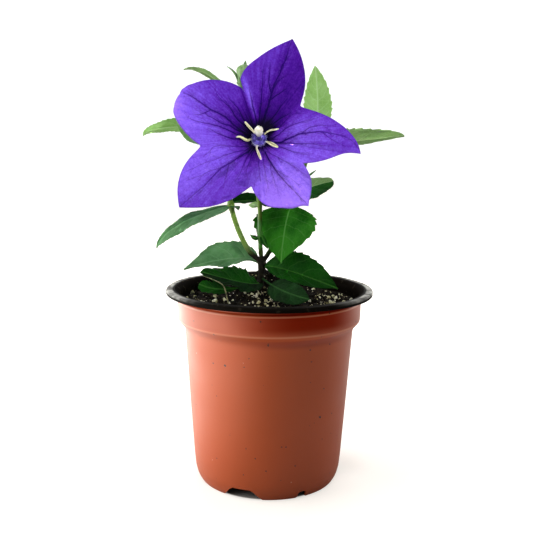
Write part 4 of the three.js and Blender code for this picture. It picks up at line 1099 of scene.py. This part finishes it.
def corolla_piece():
    fine = np.array([(index, across, *margin(lobe, index, across)) for index, lobe in enumerate(LOBES)
                     for across in np.linspace(-1, 1, LOBE_STEPS + 1)[:-1]])
    x = fine[:, 3] * np.cos(np.radians(fine[:, 2]))
    y = fine[:, 3] * np.sin(np.radians(fine[:, 2]))
    step = np.hypot(np.roll(x, -1) - x, np.roll(y, -1) - y)
    walked = np.concatenate([[0], np.cumsum(step)])
    corners = [walked[k * LOBE_STEPS // 2] for k in range(11)]
    count = COLUMNS // 10
    marks = np.concatenate([a + (b - a) * np.arange(count) / count for a, b in zip(corners, corners[1:])])
    place = np.interp(marks, walked, np.arange(len(walked)))
    low = np.floor(place + 1e-9).astype(int) % len(fine)
    part = place - np.floor(place + 1e-9)
    index = fine[low, 0].astype(int)
    across = fine[low, 1] + part * 2 / LOBE_STEPS
    angle, edge = np.array([margin(LOBES[i], i, a) for i, a in zip(index, across)]).T
    share = 0.05 + 0.95 * (np.arange(ROWS + 1) / ROWS) ** 0.92
    reach = share[None, :] * edge[:, None]
    away = np.abs(across)
    inside = np.clip((1 - away) / 0.7, 0, 1)
    inside = inside * inside * (3 - 2 * inside)
    lean, curl = (np.array([LOBES[i][kind] for i in index]) * inside for kind in ("lean", "curl"))
    radius, height, slope = bell(reach, lean, curl)
    turn = np.radians(angle)[:, None] * np.ones_like(reach)
    over = ((index == 1) & (across > 0)).astype(float) - ((index == 2) & (across < 0)).astype(float)
    near = np.clip(1 - (1 - away) / 0.45, 0, 1) * np.clip((1 - away) / 0.08, 0, 1)
    turn += (over * near * math.radians(3.4))[:, None] * share[None, :] ** 5
    lift = (over * near * 0.75)[:, None] * share[None, :] ** 2
    flat = np.stack([(reach * np.cos(turn)).ravel(), (reach * np.sin(turn)).ravel()], 1)
    vector, width = nearest_vein(flat, vein_segments())
    far = np.hypot(vector[:, 0], vector[:, 1])
    shape = reach.shape
    solid = np.stack([flat[:, 0], flat[:, 1], np.zeros(len(flat))], 1)
    free = np.clip((share - 0.25) / 0.5, 0, 1)[None, :]
    puff = (0.34 * fuzz(solid, 7, 5, 0.5, 3) + 0.13 * fuzz(solid, 2.4, 6, 0.6, 3)).reshape(shape) * free
    sunken = -0.15 * np.exp(-(far / (width * 1.8)) ** 2) * np.clip(width / 0.3, 0.1, 1)
    middle = across[:, None] * 40 * share[None, :]
    keel = -0.55 * np.exp(-(middle / 2.2) ** 2) * np.clip((share - 0.1) / 0.3, 0, 1)[None, :]
    ruffle = 0.45 * share[None, :] ** 5 * np.sin(turn * 13 + 1.3 * np.sin(turn * 5))
    ruffle *= np.clip(1.3 * away[:, None], 0.2, 1)
    pebbled = (index == 2)[:, None] * np.clip((reach - 18) / 10, 0, 1) * 0.16
    pebbled = pebbled * fuzz(solid, 1.15, 9, 0.6, 2).reshape(shape)
    fold = np.exp(-((flat[:, 0] + 1.5) / 1.6) ** 2 - ((flat[:, 1] - 31) / 8) ** 2)
    fold += 0.8 * np.exp(-((flat[:, 0] - 2.4) / 1.3) ** 2 - ((flat[:, 1] - 33) / 6) ** 2)
    bulge = lift + puff + sunken.reshape(shape) + keel + ruffle + pebbled + 0.6 * fold.reshape(shape)
    spur = ((index == 0) * np.clip(1 - away / 0.12, 0, 1))[:, None] * np.clip((share - 0.93) / 0.07, 0, 1)
    turn -= spur * math.radians(0.8)
    radius = radius - bulge * np.sin(slope)
    height = height + bulge * np.cos(slope)
    half = PETAL_THICKNESS / 2 * (1 - 0.45 * share[None, :]) * np.ones(shape)
    layers = []
    for sign in (1, -1):
        r = radius - sign * half * np.sin(slope)
        z = height + sign * half * np.cos(slope)
        layers.append(flower_point((r * np.cos(turn)).ravel(), (r * np.sin(turn)).ravel(), z.ravel()))
    wide, deep = shape
    second = wide * deep
    faces, under = [], []
    for c in range(wide):
        d = (c + 1) % wide
        for r in range(deep - 1):
            a, b, e, f = c * deep + r, d * deep + r, d * deep + r + 1, c * deep + r + 1
            faces += [(a, f, e, b), (second + a, second + b, second + e, second + f)]
            under += [0, 1]
        a, b = c * deep, d * deep
        faces.append((a, b, second + b, second + a))
        a, b = a + deep - 1, b + deep - 1
        faces.append((b, a, second + a, second + b))
        under += [0, 0]
    corolla = mesh_piece("corolla_bell", np.concatenate(layers), faces)
    corolla.data.polygons.foreach_set("material_index", under)
    degrees, reached = np.degrees(turn.ravel()), reach.ravel()
    # A painted highlight stripe along the top lobe's edge where it overlaps the left lobe, with a painted shadow
    # beside it.
    beside = np.radians(degrees - 109.5) * reached
    tone = np.exp(-((beside + 1.7) / 1.5) ** 2) * 1.5 - np.exp(-((beside - 0.7) / 0.7) ** 2) * 0.9
    tone *= np.clip((reached - 6) / 5, 0, 1) * np.clip((30 - reached) / 6, 0, 1)
    # Each lobe's painted light and shade, blended from lobe to lobe.
    weights, shaded = np.zeros(len(flat)), np.zeros(len(flat))
    outward = np.clip((reached - 10) / 28, 0, 1)
    for lobe in LOBES:
        throat_end, tip_end, side = lobe["shade"]
        off = (degrees - lobe["tip"] + 180) % 360 - 180
        weight = np.exp(-(off / 30) ** 2)
        weights += weight
        shaded += weight * (throat_end + (tip_end - throat_end) * outward
                            + side * np.tanh(np.radians(off) * reached / 6))
    floats = {"tone": tone + shaded / weights, "reach": reached, "vein_far": (far - 0.3) / width,
              "vein_girth": width, "rim": ((1 - share[None, :]) * edge[:, None]).ravel()}
    for name, values in floats.items():
        mark(corolla, name, np.tile(values, 2))
    spokes = np.stack([np.cos(turn) * 34, np.sin(turn) * 34, reach * 0.05], 2).reshape(-1, 3)
    way = np.concatenate([vector / width[:, None], np.zeros((len(flat), 1))], 1)
    for name, vectors in (("fibre_way", spokes), ("vein_way", way)):
        mark(corolla, name, np.tile(vectors, (2, 1)).ravel(), "FLOAT_VECTOR")
    return corolla


def petal_face(name, shades, vein, dark):
    """A petal face: its shades from deep to pale, the vein colour and how dark the throat is painted, as painted
    shade.
    """
    paint = Paint(name, Roughness=0.52, Specular_IOR_Level=0.1)
    tone, reach, rim = (paint.attribute(kind) for kind in ("tone", "reach", "rim"))
    size = paint.node("VectorMath", {0: paint.attribute("vein_way", "Vector")}, "Value", operation="LENGTH")
    off = size.most(paint.attribute("vein_far"))
    cloud, cells, grain = paint.noise(190, 5), paint.noise(1500, 3), paint.noise(620, 4)
    fibres = paint.noise(1, 3, paint.attribute("fibre_way", "Vector"))
    value = tone * 0.3 + (cloud - 0.5) * 0.26 + reach.between(5, 20, 0.2, 0.62)
    value = value + (cells - 0.5) * 0.42 + (grain - 0.5) * 0.24 + (fibres - 0.5) * 0.42
    base = value.ramp(*zip((0, 0.25, 0.5, 0.75, 1), shades))
    strong = paint.attribute("vein_girth").between(0.05, 0.24, 0.35, 1)
    streak = off.between(0.8, 4.5, 1, 0) * strong * reach.between(6, 30, 0.45, 0.08)
    tinted = paint.mix(streak, base, shades[0])
    line = off.between(0.4, 1.5, 1, 0) * strong * reach.between(8, 42, 1, 0.7)
    faded = paint.mix(1.0, tinted, (0.2, 0.07, 0.34), "MULTIPLY")
    veined = paint.mix(line, tinted, paint.mix(reach.between(5, 15), vein, faded))
    edged = paint.mix(rim.between(0.15, 0.9, 1, 0) * 0.4, veined, shades[1])
    # The throat is darkened to near black: painted shade deep in the bell, over the deep violet of its base.
    ragged = (cloud - 0.5) * 3 + (fibres - 0.5) * 9 + tone * 1.6
    throat = (reach + ragged).between(5, 10, 1, 0)
    colour = paint.mix(throat * dark, edged, (0.003, 0.0, 0.018))
    paint.set(Base_Color=colour)
    normal = paint.bumps((line * -1, 0.0002, 0.4), (cells, 0.0002, 0.6),
                         (paint.cells(900, "SMOOTH_F1") * -1, 0.0005, 0.7), (cloud, 0.0006, 0.25))
    return paint.mix_in("Translucent", 0.5, {"Color": colour, "Normal": normal})


corolla = corolla_piece()
finished(corolla, [petal_face("petal_violet", VIOLETS, (0.01, 0.0, 0.09), 1.0),
                   petal_face("petal_back", BACK_VIOLETS, (0.03, 0.004, 0.16), 0.2)])
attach(corolla, "root")
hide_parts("corolla")


# The filament dome is the ring of five broad filament feet, closed about the style. It is blue-violet
# and covered with short pale hairs that grew with it.
DOME_PROFILE = [(1.1, 0.0), (1.7, 0.0), (1.8, 0.9), (2.45, 1.6), (2.85, 2.3), (2.9, 2.9), (2.6, 3.6), (2.1, 4.2),
                (1.5, 4.6), (1.1, 4.55)]
DOME_SIDES = 60
BARE_ABOVE = 3.7


def moved(piece, origin, *axes):
    """Moves a mesh that is drawn at the origin to a place in mm with three axes of its own."""
    basis = Matrix([(*axis, 0) for axis in axes] + [(0, 0, 0, 1)]).transposed()
    piece.data.transform(Matrix.Translation([value * MM for value in origin]) @ basis)


def hair_tree():
    """Short tapered hairs that stand on a surface, with a random lean."""
    tree, given = new_growth("Standing hairs", {
        "Density": 9000000.0, "Length": 0.001, "Thickness": 0.00005, "Seed": 1})
    spots = add_node(tree, "GeometryNodeDistributePointsOnFaces", {
        "Mesh": given["Geometry"], "Density": given["Density"], "Seed": given["Seed"]})
    hair = add_node(tree, "GeometryNodeMeshCone", {
        "Vertices": 4, "Side Segments": 2, "Radius Top": 0.000008, "Radius Bottom": given["Thickness"],
        "Depth": given["Length"]})
    lean = add_node(tree, "FunctionNodeRandomValue", {
        "Min": (-0.55, -0.55, 0), "Max": (0.55, 0.55, 6.28), "Seed": 3}, data_type="FLOAT_VECTOR")
    turned = add_node(tree, "FunctionNodeRotateRotation", {
        "Rotation": spots.other("Rotation"), "Rotate By": lean}, rotation_space="LOCAL")
    size = add_node(tree, "FunctionNodeRandomValue", {2: 0.5, 3: 1.15, "Seed": 8}, 1, data_type="FLOAT")
    placed = add_node(tree, "GeometryNodeInstanceOnPoints", {
        "Points": spots, "Instance": hair, "Rotation": turned, "Scale": size})
    return end_growth(tree, given, placed)


paint = Paint("dome_violet", Roughness=0.6)
cloud = paint.noise(900, 4)
tone = cloud.ramp((0.35, (0.01, 0.004, 0.09)), (0.52, (0.06, 0.035, 0.33)), (0.75, (0.22, 0.17, 0.6)))
paint.set(Base_Color=tone)
paint.bumps((cloud, 0.0004, 0.6))
hair = Paint("dome_hair", Roughness=0.5)
hair.set(Base_Color=hair.noise(500, 2).ramp((0.35, (0.08, 0.06, 0.38)), (0.62, (0.5, 0.47, 0.85))))

dome = turned_piece("dome_flesh", DOME_PROFILE, DOME_SIDES, paint.mat)
for vertex in dome.data.vertices:
    around = math.atan2(vertex.co.y, vertex.co.x)
    groove = 1 - 0.07 * (0.5 + 0.5 * math.cos(5 * around + 1.0)) ** 3
    vertex.co.x *= groove
    vertex.co.y *= groove
skin = bmesh.new()
skin.from_mesh(dome.data)
bare = [face for face in skin.faces if face.calc_center_median().z > BARE_ABOVE * MM]
bmesh.ops.delete(skin, geom=bare, context="FACES")
hairy = placed_object("dome_skin", bpy.data.meshes.new("dome_skin"))
skin.to_mesh(hairy.data)
skin.free()
hairs = grown("dome_hairs", hairy, hair_tree(), hair.mat, {
    "Density": 7500000.0, "Length": 1.0 * MM, "Thickness": 0.075 * MM, "Seed": 2})
for piece, mat in ((dome, paint.mat), (hairs, hair.mat)):
    finished(piece, [mat])
    moved(piece, *FLOWER)
    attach(piece, "root")
    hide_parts("filament_dome")


# The style stands out of the dome and ends in a closed stigma, an ivory ovoid of five lobes that have
# not opened yet. It leans a little upwards.
STYLE_PROFILE = [(0.01, 0.02), (0.7, 0.02), (0.7, 3), (0.7, 5.4), (0.72, 6.6), (0.9, 7.8), (1.3, 8.9),
                 (1.62, 9.8), (1.78, 10.7), (1.72, 11.6), (1.45, 12.5), (1.05, 13.2), (0.7, 13.7), (0.3, 13.95),
                 (0.01, 14.0)]
STYLE_SIDES = 60
STIGMA_STARTS = 7.5
LEAN_STARTS = 4.6

paint = Paint("stigma_ivory", Roughness=0.55, Subsurface_Weight=0.25, Subsurface_Radius=(1.0, 0.9, 0.5),
              Subsurface_Scale=0.0006)
soft = paint.noise(700, 4)
tone = soft.ramp((0.3, (0.62, 0.66, 0.42)), (0.5, (0.86, 0.87, 0.68)), (0.75, (0.97, 0.96, 0.86)))
foot = paint.attribute("along").between(6.4, 8.2, 1, 0)
paint.set(Base_Color=paint.mix(foot, tone, (0.07, 0.04, 0.34)))
paint.bumps((soft, 0.0003, 0.4), (paint.noise(3000, 2), 0.0001, 0.4))
style = turned_piece("style_column", STYLE_PROFILE, STYLE_SIDES, paint.mat)
mark(style, "along", [vertex.co.z / MM for vertex in style.data.vertices])
for vertex in style.data.vertices:
    around = math.atan2(vertex.co.y, vertex.co.x)
    high = max(vertex.co.z / MM - STIGMA_STARTS, 0)
    groove = 1 - 0.13 * min(high / 3, 1) * (0.5 + 0.5 * math.cos(5 * around + 0.4)) ** 4
    groove *= 1 + 0.03 * min(max(high - 0.3, 0) / 1.5, 1)
    vertex.co.x *= groove
    vertex.co.y = vertex.co.y * groove + 0.26 * max(vertex.co.z - LEAN_STARTS * MM, 0)
moved(style, *FLOWER)
finished(style, [paint.mat])
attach(style, "root")
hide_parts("style")


# Five stamens lie spread about the dome. Each is a thin pale thread and a long creamy anther with a
# groove along it, shrivelled and twisted now that its pollen is shed. Each grew in one piece.
STAMENS = [
    ([(-1.9, 2.0, 2.5), (-2.35, 2.9, 3.0), (-3.4, 3.9, 4.0), (-4.8, 5.2, 5.2), (-5.9, 6.4, 6.0)], [0.22, 0.5,
     0.72, 0.62, 0.34], 0.5),
    ([(-2.5, -0.2, 2.5), (-3.6, -0.35, 2.9), (-4.7, -0.9, 3.8), (-6.0, -0.6, 4.7), (-7.7, 0.15, 5.3),
     (-9.4, 0.0, 5.8)], [0.22, 0.42, 0.74, 0.78, 0.62, 0.22], 1.7),
    ([(-0.4, -2.2, 2.5), (-0.75, -3.3, 3.0), (-0.9, -4.3, 3.6), (-0.35, -5.7, 4.2), (0.3, -7.3, 4.8),
     (1.05, -9.2, 5.6)], [0.42, 0.3, 0.5, 0.72, 0.68, 0.34], -0.6),
    ([(2.0, -0.9, 2.5), (2.9, -1.15, 2.9), (3.7, -1.55, 3.3), (5.2, -2.3, 4.1), (6.7, -3.2, 4.8),
     (8.0, -3.95, 5.4)], [0.2, 0.26, 0.82, 1.02, 0.86, 0.5], 0.3),
    ([(1.9, 1.2, 2.5), (2.5, 2.0, 3.0), (3.5, 2.75, 3.8), (4.9, 3.25, 4.7), (6.5, 3.35, 5.3), (8.2, 3.6, 5.8)],
     [0.3, 0.26, 0.36, 0.46, 0.44, 0.24], 1.2),
]
STAMEN_ROWS, STAMEN_SIDES = 56, 20


def stamen_piece(name, line, radii, twist):
    path = smooth_path(line)
    share = np.linspace(0, 1, STAMEN_ROWS + 1)
    girth = np.interp(share, np.linspace(0, 1, len(radii)), radii)
    girth = np.convolve(np.pad(girth, 3, mode="edge"), np.ones(7) / 7, "valid")
    points, dents = [], []
    for u, radius in zip(share, girth):
        place, along = point_at(path, u)
        up = np.array([0, 0, 1.0]) - along * along[2]
        up /= np.linalg.norm(up)
        side = np.cross(along, up)
        fat = np.clip((radius - 0.3) / 0.3, 0, 1)
        end = min(1, math.sqrt(max(1 - u, 0) / 0.05), math.sqrt(u / 0.02 + 0.05))
        flat = 1 - 0.25 * fat
        for j in range(STAMEN_SIDES):
            a = math.tau * j / STAMEN_SIDES
            b = a + twist * u
            dent = math.exp(-(((a - math.pi / 2 + math.pi) % math.tau - math.pi) / 0.42) ** 2) * fat
            r = radius * (1 - 0.24 * fat) * end * (1 - 0.5 * dent)
            points.append(place + side * r * math.cos(b) + up * r * math.sin(b) * flat)
            dents.append(dent)
    faces, wide = [], STAMEN_SIDES
    for k in range(STAMEN_ROWS):
        a, b = k * wide, (k + 1) * wide
        faces += [(a + (j + 1) % wide, a + j, b + j, b + (j + 1) % wide) for j in range(wide)]
    faces += [tuple(range(wide)), tuple(STAMEN_ROWS * wide + j for j in range(wide))[::-1]]
    piece = mesh_piece(name, points, faces)
    mark(piece, "groove", dents)
    return piece


paint = Paint("anther_cream", Roughness=0.6)
cloud = paint.noise(1200, 4)
cream = cloud.ramp((0.3, (0.55, 0.52, 0.24)), (0.5, (0.8, 0.76, 0.45)), (0.75, (0.95, 0.92, 0.68)))
# The groove is painted dark: painted shade in the crease along the anther.
paint.set(Base_Color=paint.mix(paint.attribute("groove") * 0.9, cream, (0.13, 0.12, 0.04)))
paint.bumps((cloud, 0.0003, 0.5))
for number, (line, radii, twist) in enumerate(STAMENS):
    stamen = stamen_piece("anther_%d" % (number + 1), line, radii, twist)
    moved(stamen, *FLOWER)
    finished(stamen, [paint.mat])
    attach(stamen, "root")
    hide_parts("stamen_%d" % (number + 1))


# The calyx is the green cup behind the flower with its five pointed sepals, grown as one piece. The
# closed bud has a cup of the same kind whose longer sepals stand up about it.
CUP_PROFILE = [(0.01, -8.0), (1.05, -8.0), (1.15, -7.2), (1.5, -5.6), (2.2, -3.2), (2.75, -1.6), (2.9, -1.1),
               (2.6, -0.8), (1.5, -0.6), (0.01, -0.6)]
BUD_CUP_PROFILE = [(0.01, 0.25), (1.0, 0.25), (1.4, 0.8), (2.1, 1.6), (2.7, 2.3), (2.85, 2.7), (2.5, 2.95),
                   (1.3, 3.0), (0.01, 3.0)]
SEPALS = [(25.2 + 72 * k, 6, 7, 2.1, 10) for k in range(5)]
BUD_SEPALS = [(25.2, 66, 5.5, 1.3, 0), (90, 82, 9.9, 3.0, 6), (163, 74, 9.0, 1.9, -52), (212, 76, 5.0, 1.9, 16),
              (313.2, 70, 6.2, 1.3, 14)]
SEPAL_ROWS, SEPAL_COLUMNS = 22, 3
CUP_SIDES = 40


def sepals(foot, height, ways):
    """Points and faces of pointed blades round a cup, each (angle, rise, length, width, hook)."""
    points, faces = [], []
    across = np.arange(-SEPAL_COLUMNS, SEPAL_COLUMNS + 1)
    for angle, rise, length, width, hook in ways:
        start = len(points)
        place, slope = np.array([foot, 0.0, height]), math.radians(rise)
        c, s = math.cos(math.radians(angle)), math.sin(math.radians(angle))
        for k in range(SEPAL_ROWS + 1):
            u = k / SEPAL_ROWS
            half = max(width * (1 - u) ** 0.75 * min(1, 0.75 + 2 * u), 0.07)
            normal = np.array([-math.sin(slope), 0, math.cos(slope)])
            for layer in (1, -1):
                for v in across[::layer] / SEPAL_COLUMNS:
                    lift = layer * 0.2 * (1 - 0.5 * abs(v)) + 0.35 * half * v * v
                    p = place + np.array([0, v * half, 0]) + normal * lift
                    points.append((p[0] * c - p[1] * s, p[0] * s + p[1] * c, p[2]))
            slope += math.radians(hook) / SEPAL_ROWS
            place = place + np.array([math.cos(slope), 0, math.sin(slope)]) * length / SEPAL_ROWS
        wide = 2 * len(across)
        for k in range(SEPAL_ROWS):
            a, b = start + k * wide, start + (k + 1) * wide
            faces += [(a + j, b + j, b + (j + 1) % wide, a + (j + 1) % wide) for j in range(wide)]
        faces += [tuple(range(start, start + wide)), tuple(range(len(points) - wide, len(points)))[::-1]]
    return points, faces


def calyx_piece(name, cup, foot, height, ways, mat):
    piece = turned_piece(name, cup, CUP_SIDES, mat)
    blades = mesh_piece(name + "_blades", *sepals(foot, height, ways))
    both, count = bpy.data.meshes.new(name), len(piece.data.vertices)
    points = [tuple(v.co) for part in (piece, blades) for v in part.data.vertices]
    faces = [tuple(f.vertices) for f in piece.data.polygons]
    faces += [tuple(i + count for i in f.vertices) for f in blades.data.polygons]
    both.from_pydata(points, [], faces)
    both.update()
    piece.data = both
    bpy.data.objects.remove(blades)
    return piece


paint = Paint("calyx_green", Roughness=0.5)
cloud = paint.noise(500, 4)
tone = cloud.ramp((0.3, (0.03, 0.10, 0.01)), (0.55, (0.07, 0.18, 0.025)), (0.8, (0.17, 0.31, 0.08)))
paint.set(Base_Color=tone)
paint.bumps((cloud, 0.0003, 0.4), (paint.noise(2500, 2), 0.0001, 0.4))
bud_seat, bud_out = point_at(PATHS["stem_middle"], 1.0)
bud_right = np.array([1.0, 0, 0]) - bud_out * bud_out[0]
bud_right /= np.linalg.norm(bud_right)
BUD = (bud_seat, bud_right, np.cross(bud_out, bud_right), bud_out)
calyx = calyx_piece("calyx_cup", CUP_PROFILE, 2.0, -1.5, SEPALS, paint.mat)
bud_calyx = calyx_piece("bud_cup", BUD_CUP_PROFILE, 2.1, 2.2, BUD_SEPALS, paint.mat)
for piece, node, seat in ((calyx, "calyx", FLOWER), (bud_calyx, "bud_calyx", BUD)):
    moved(piece, *seat)
    finished(piece, [paint.mat], 60)
    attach(piece, "root")
    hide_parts(node)


# The bud is still closed: five petals joined into a small green balloon with a seam between each two,
# pinched at its waist and drawn to a point.
BUD_PROFILE = [(0.01, 3.3), (1.0, 3.3), (1.7, 3.9), (2.3, 4.8), (2.75, 5.8), (3.2, 6.8), (3.5, 7.8), (3.45, 8.6),
               (3.05, 9.4), (2.3, 10.1), (1.3, 10.7), (0.5, 10.97), (0.01, 11.0)]
BUD_SIDES = 80
SEAM_DEPTH = 0.12

paint = Paint("bud_skin", Roughness=0.5)
cloud = paint.noise(420, 4)
skin = cloud.ramp((0.3, (0.07, 0.15, 0.035)), (0.55, (0.14, 0.26, 0.08)), (0.8, (0.28, 0.4, 0.18)))
paint.set(Base_Color=paint.mix(paint.attribute("seam") * 0.6, skin, (0.16, 0.3, 0.09)))
paint.bumps((cloud, 0.0003, 0.4))
bud = turned_piece("bud_balloon", BUD_PROFILE, BUD_SIDES, paint.mat)
seams = []
for vertex in bud.data.vertices:
    around = math.atan2(vertex.co.y, vertex.co.x)
    seam = (0.5 + 0.5 * math.cos(5 * around)) ** 3
    seams.append(seam)
    vertex.co.x *= 1 - SEAM_DEPTH * seam
    vertex.co.y *= 1 - SEAM_DEPTH * seam
mark(bud, "seam", seams)
moved(bud, *BUD)
finished(bud, [paint.mat])
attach(bud, "root")
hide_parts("bud")


# The floor is a pale sheet that glows white for the camera, with a painted shadow and a painted reflection.
# Soft studio light comes from the left, from above and from behind. The camera stands where the photo was taken
# from.
FLOOR_CORNERS = [(-1500, -900, 0), (1500, -900, 0), (1500, 3000, 0), (-1500, 3000, 0)]
WORLD_SEEN, WORLD_GLOW = 1.15, 0.12
SENSOR_WIDTH = 36
FOCAL_PIXELS, PHOTO_PIXELS = 789, 533
CAMERA_PLACE = (0, -0.34, 0.1479)
PITCH, ROLL, YAW = 0.157, 0.011, -0.004

paint = Paint("pale_floor", Roughness=0.9, Specular_IOR_Level=0.1, Emission_Color=(1, 0.965, 0.91))
paint.set(Base_Color=paint.mix(paint.noise(6, 2), (0.46, 0.445, 0.42), (0.48, 0.465, 0.44)))
# The floor glows white for the camera, less near the pot and not under it; right of the foot the glow is lowered
# as a painted shadow.
shown = paint.distance_to(0.02, 0, 0).between(0.06, 0.26, 0.68, 1.05)
shown *= paint.distance_to(0, 0, 0).between(0.0285, 0.030)
shown *= paint.distance_to(0.03, 0.01, 0).between(0.004, 0.022, 0.8, 1)
across, deep, _ = paint.split()
# For reflections only, the floor glows strongly on the left and a little at the back: a painted reflection that
# gives the pot's left side a sheen.
gleam = across.between(-0.2, 0, 4.4, 0) + deep.between(0.05, 0.3, 0, 0.6)
ray = paint.node("LightPath", output="Is Camera Ray")
paint.set(Emission_Strength=ray * shown + ray.other("Is Glossy Ray") * gleam)
floor = mesh_piece("floor", FLOOR_CORNERS, [(0, 1, 2, 3)])
finished(floor, [paint.mat])

scene = bpy.context.scene
scene.view_settings.view_transform = "Standard"
world = bpy.data.worlds.new("studio")
scene.world = world
world.use_nodes = True
tree = world.node_tree
tree.nodes.clear()
seen, glow = (add_node(tree, "ShaderNodeBackground", {"Color": (1, 1, 1), "Strength": strength})
              for strength in (WORLD_SEEN, WORLD_GLOW))
ray = add_node(tree, "ShaderNodeLightPath", output="Is Camera Ray")
both = add_node(tree, "ShaderNodeMixShader", {"Fac": ray, 1: glow, 2: seen})
feed(tree, tree.nodes.new("ShaderNodeOutputWorld").inputs["Surface"], both)


def soft_light(name, place, aim, size, power, fan=180):
    light = bpy.data.lights.new(name, "AREA")
    light.shape = "RECTANGLE"
    light.size, light.size_y = size
    light.energy = power
    light.spread = math.radians(fan)
    made = placed_object(name, light)
    made.location = place
    made.rotation_euler = (Vector(aim) - Vector(place)).to_track_quat("-Z", "Y").to_euler()


soft_light("left_light", (-0.8, -0.12, 0.34), (0, 0, 0.1), (0.8, 0.65), 7.2)
soft_light("left_edge_light", (-0.7, 0.34, 0.22), (0, 0, 0.05), (0.5, 0.4), 3)
soft_light("top_light", (-0.05, -0.1, 0.95), (0, 0, 0), (0.9, 0.9), 6)
soft_light("back_light", (0.1, 0.75, 0.5), (0, 0, 0.12), (0.9, 0.6), 5)
soft_light("right_light", (0.72, 0.42, 0.2), (0, 0, 0.1), (0.4, 0.5), 2.2)
soft_light("flower_light", (0.28, -0.82, 0.42), (-0.004, -0.008, 0.155), (0.16, 0.1), 0.05, fan=8)

lens_data = bpy.data.cameras.new("camera")
lens_data.lens = FOCAL_PIXELS / PHOTO_PIXELS * SENSOR_WIDTH
lens_data.sensor_width = SENSOR_WIDTH
lens_data.clip_start = 0.01
camera = placed_object("camera", lens_data)
forward = Vector((math.sin(YAW) * math.cos(PITCH), math.cos(YAW) * math.cos(PITCH), -math.sin(PITCH)))
level = Vector((math.cos(YAW), -math.sin(YAW), 0))
upright = level.cross(forward)
right = math.cos(ROLL) * level + math.sin(ROLL) * upright
up = math.cos(ROLL) * upright - math.sin(ROLL) * level
camera.matrix_world = Matrix.Translation(CAMERA_PLACE) @ Matrix([right, up, -forward]).transposed().to_4x4()
scene.camera = camera
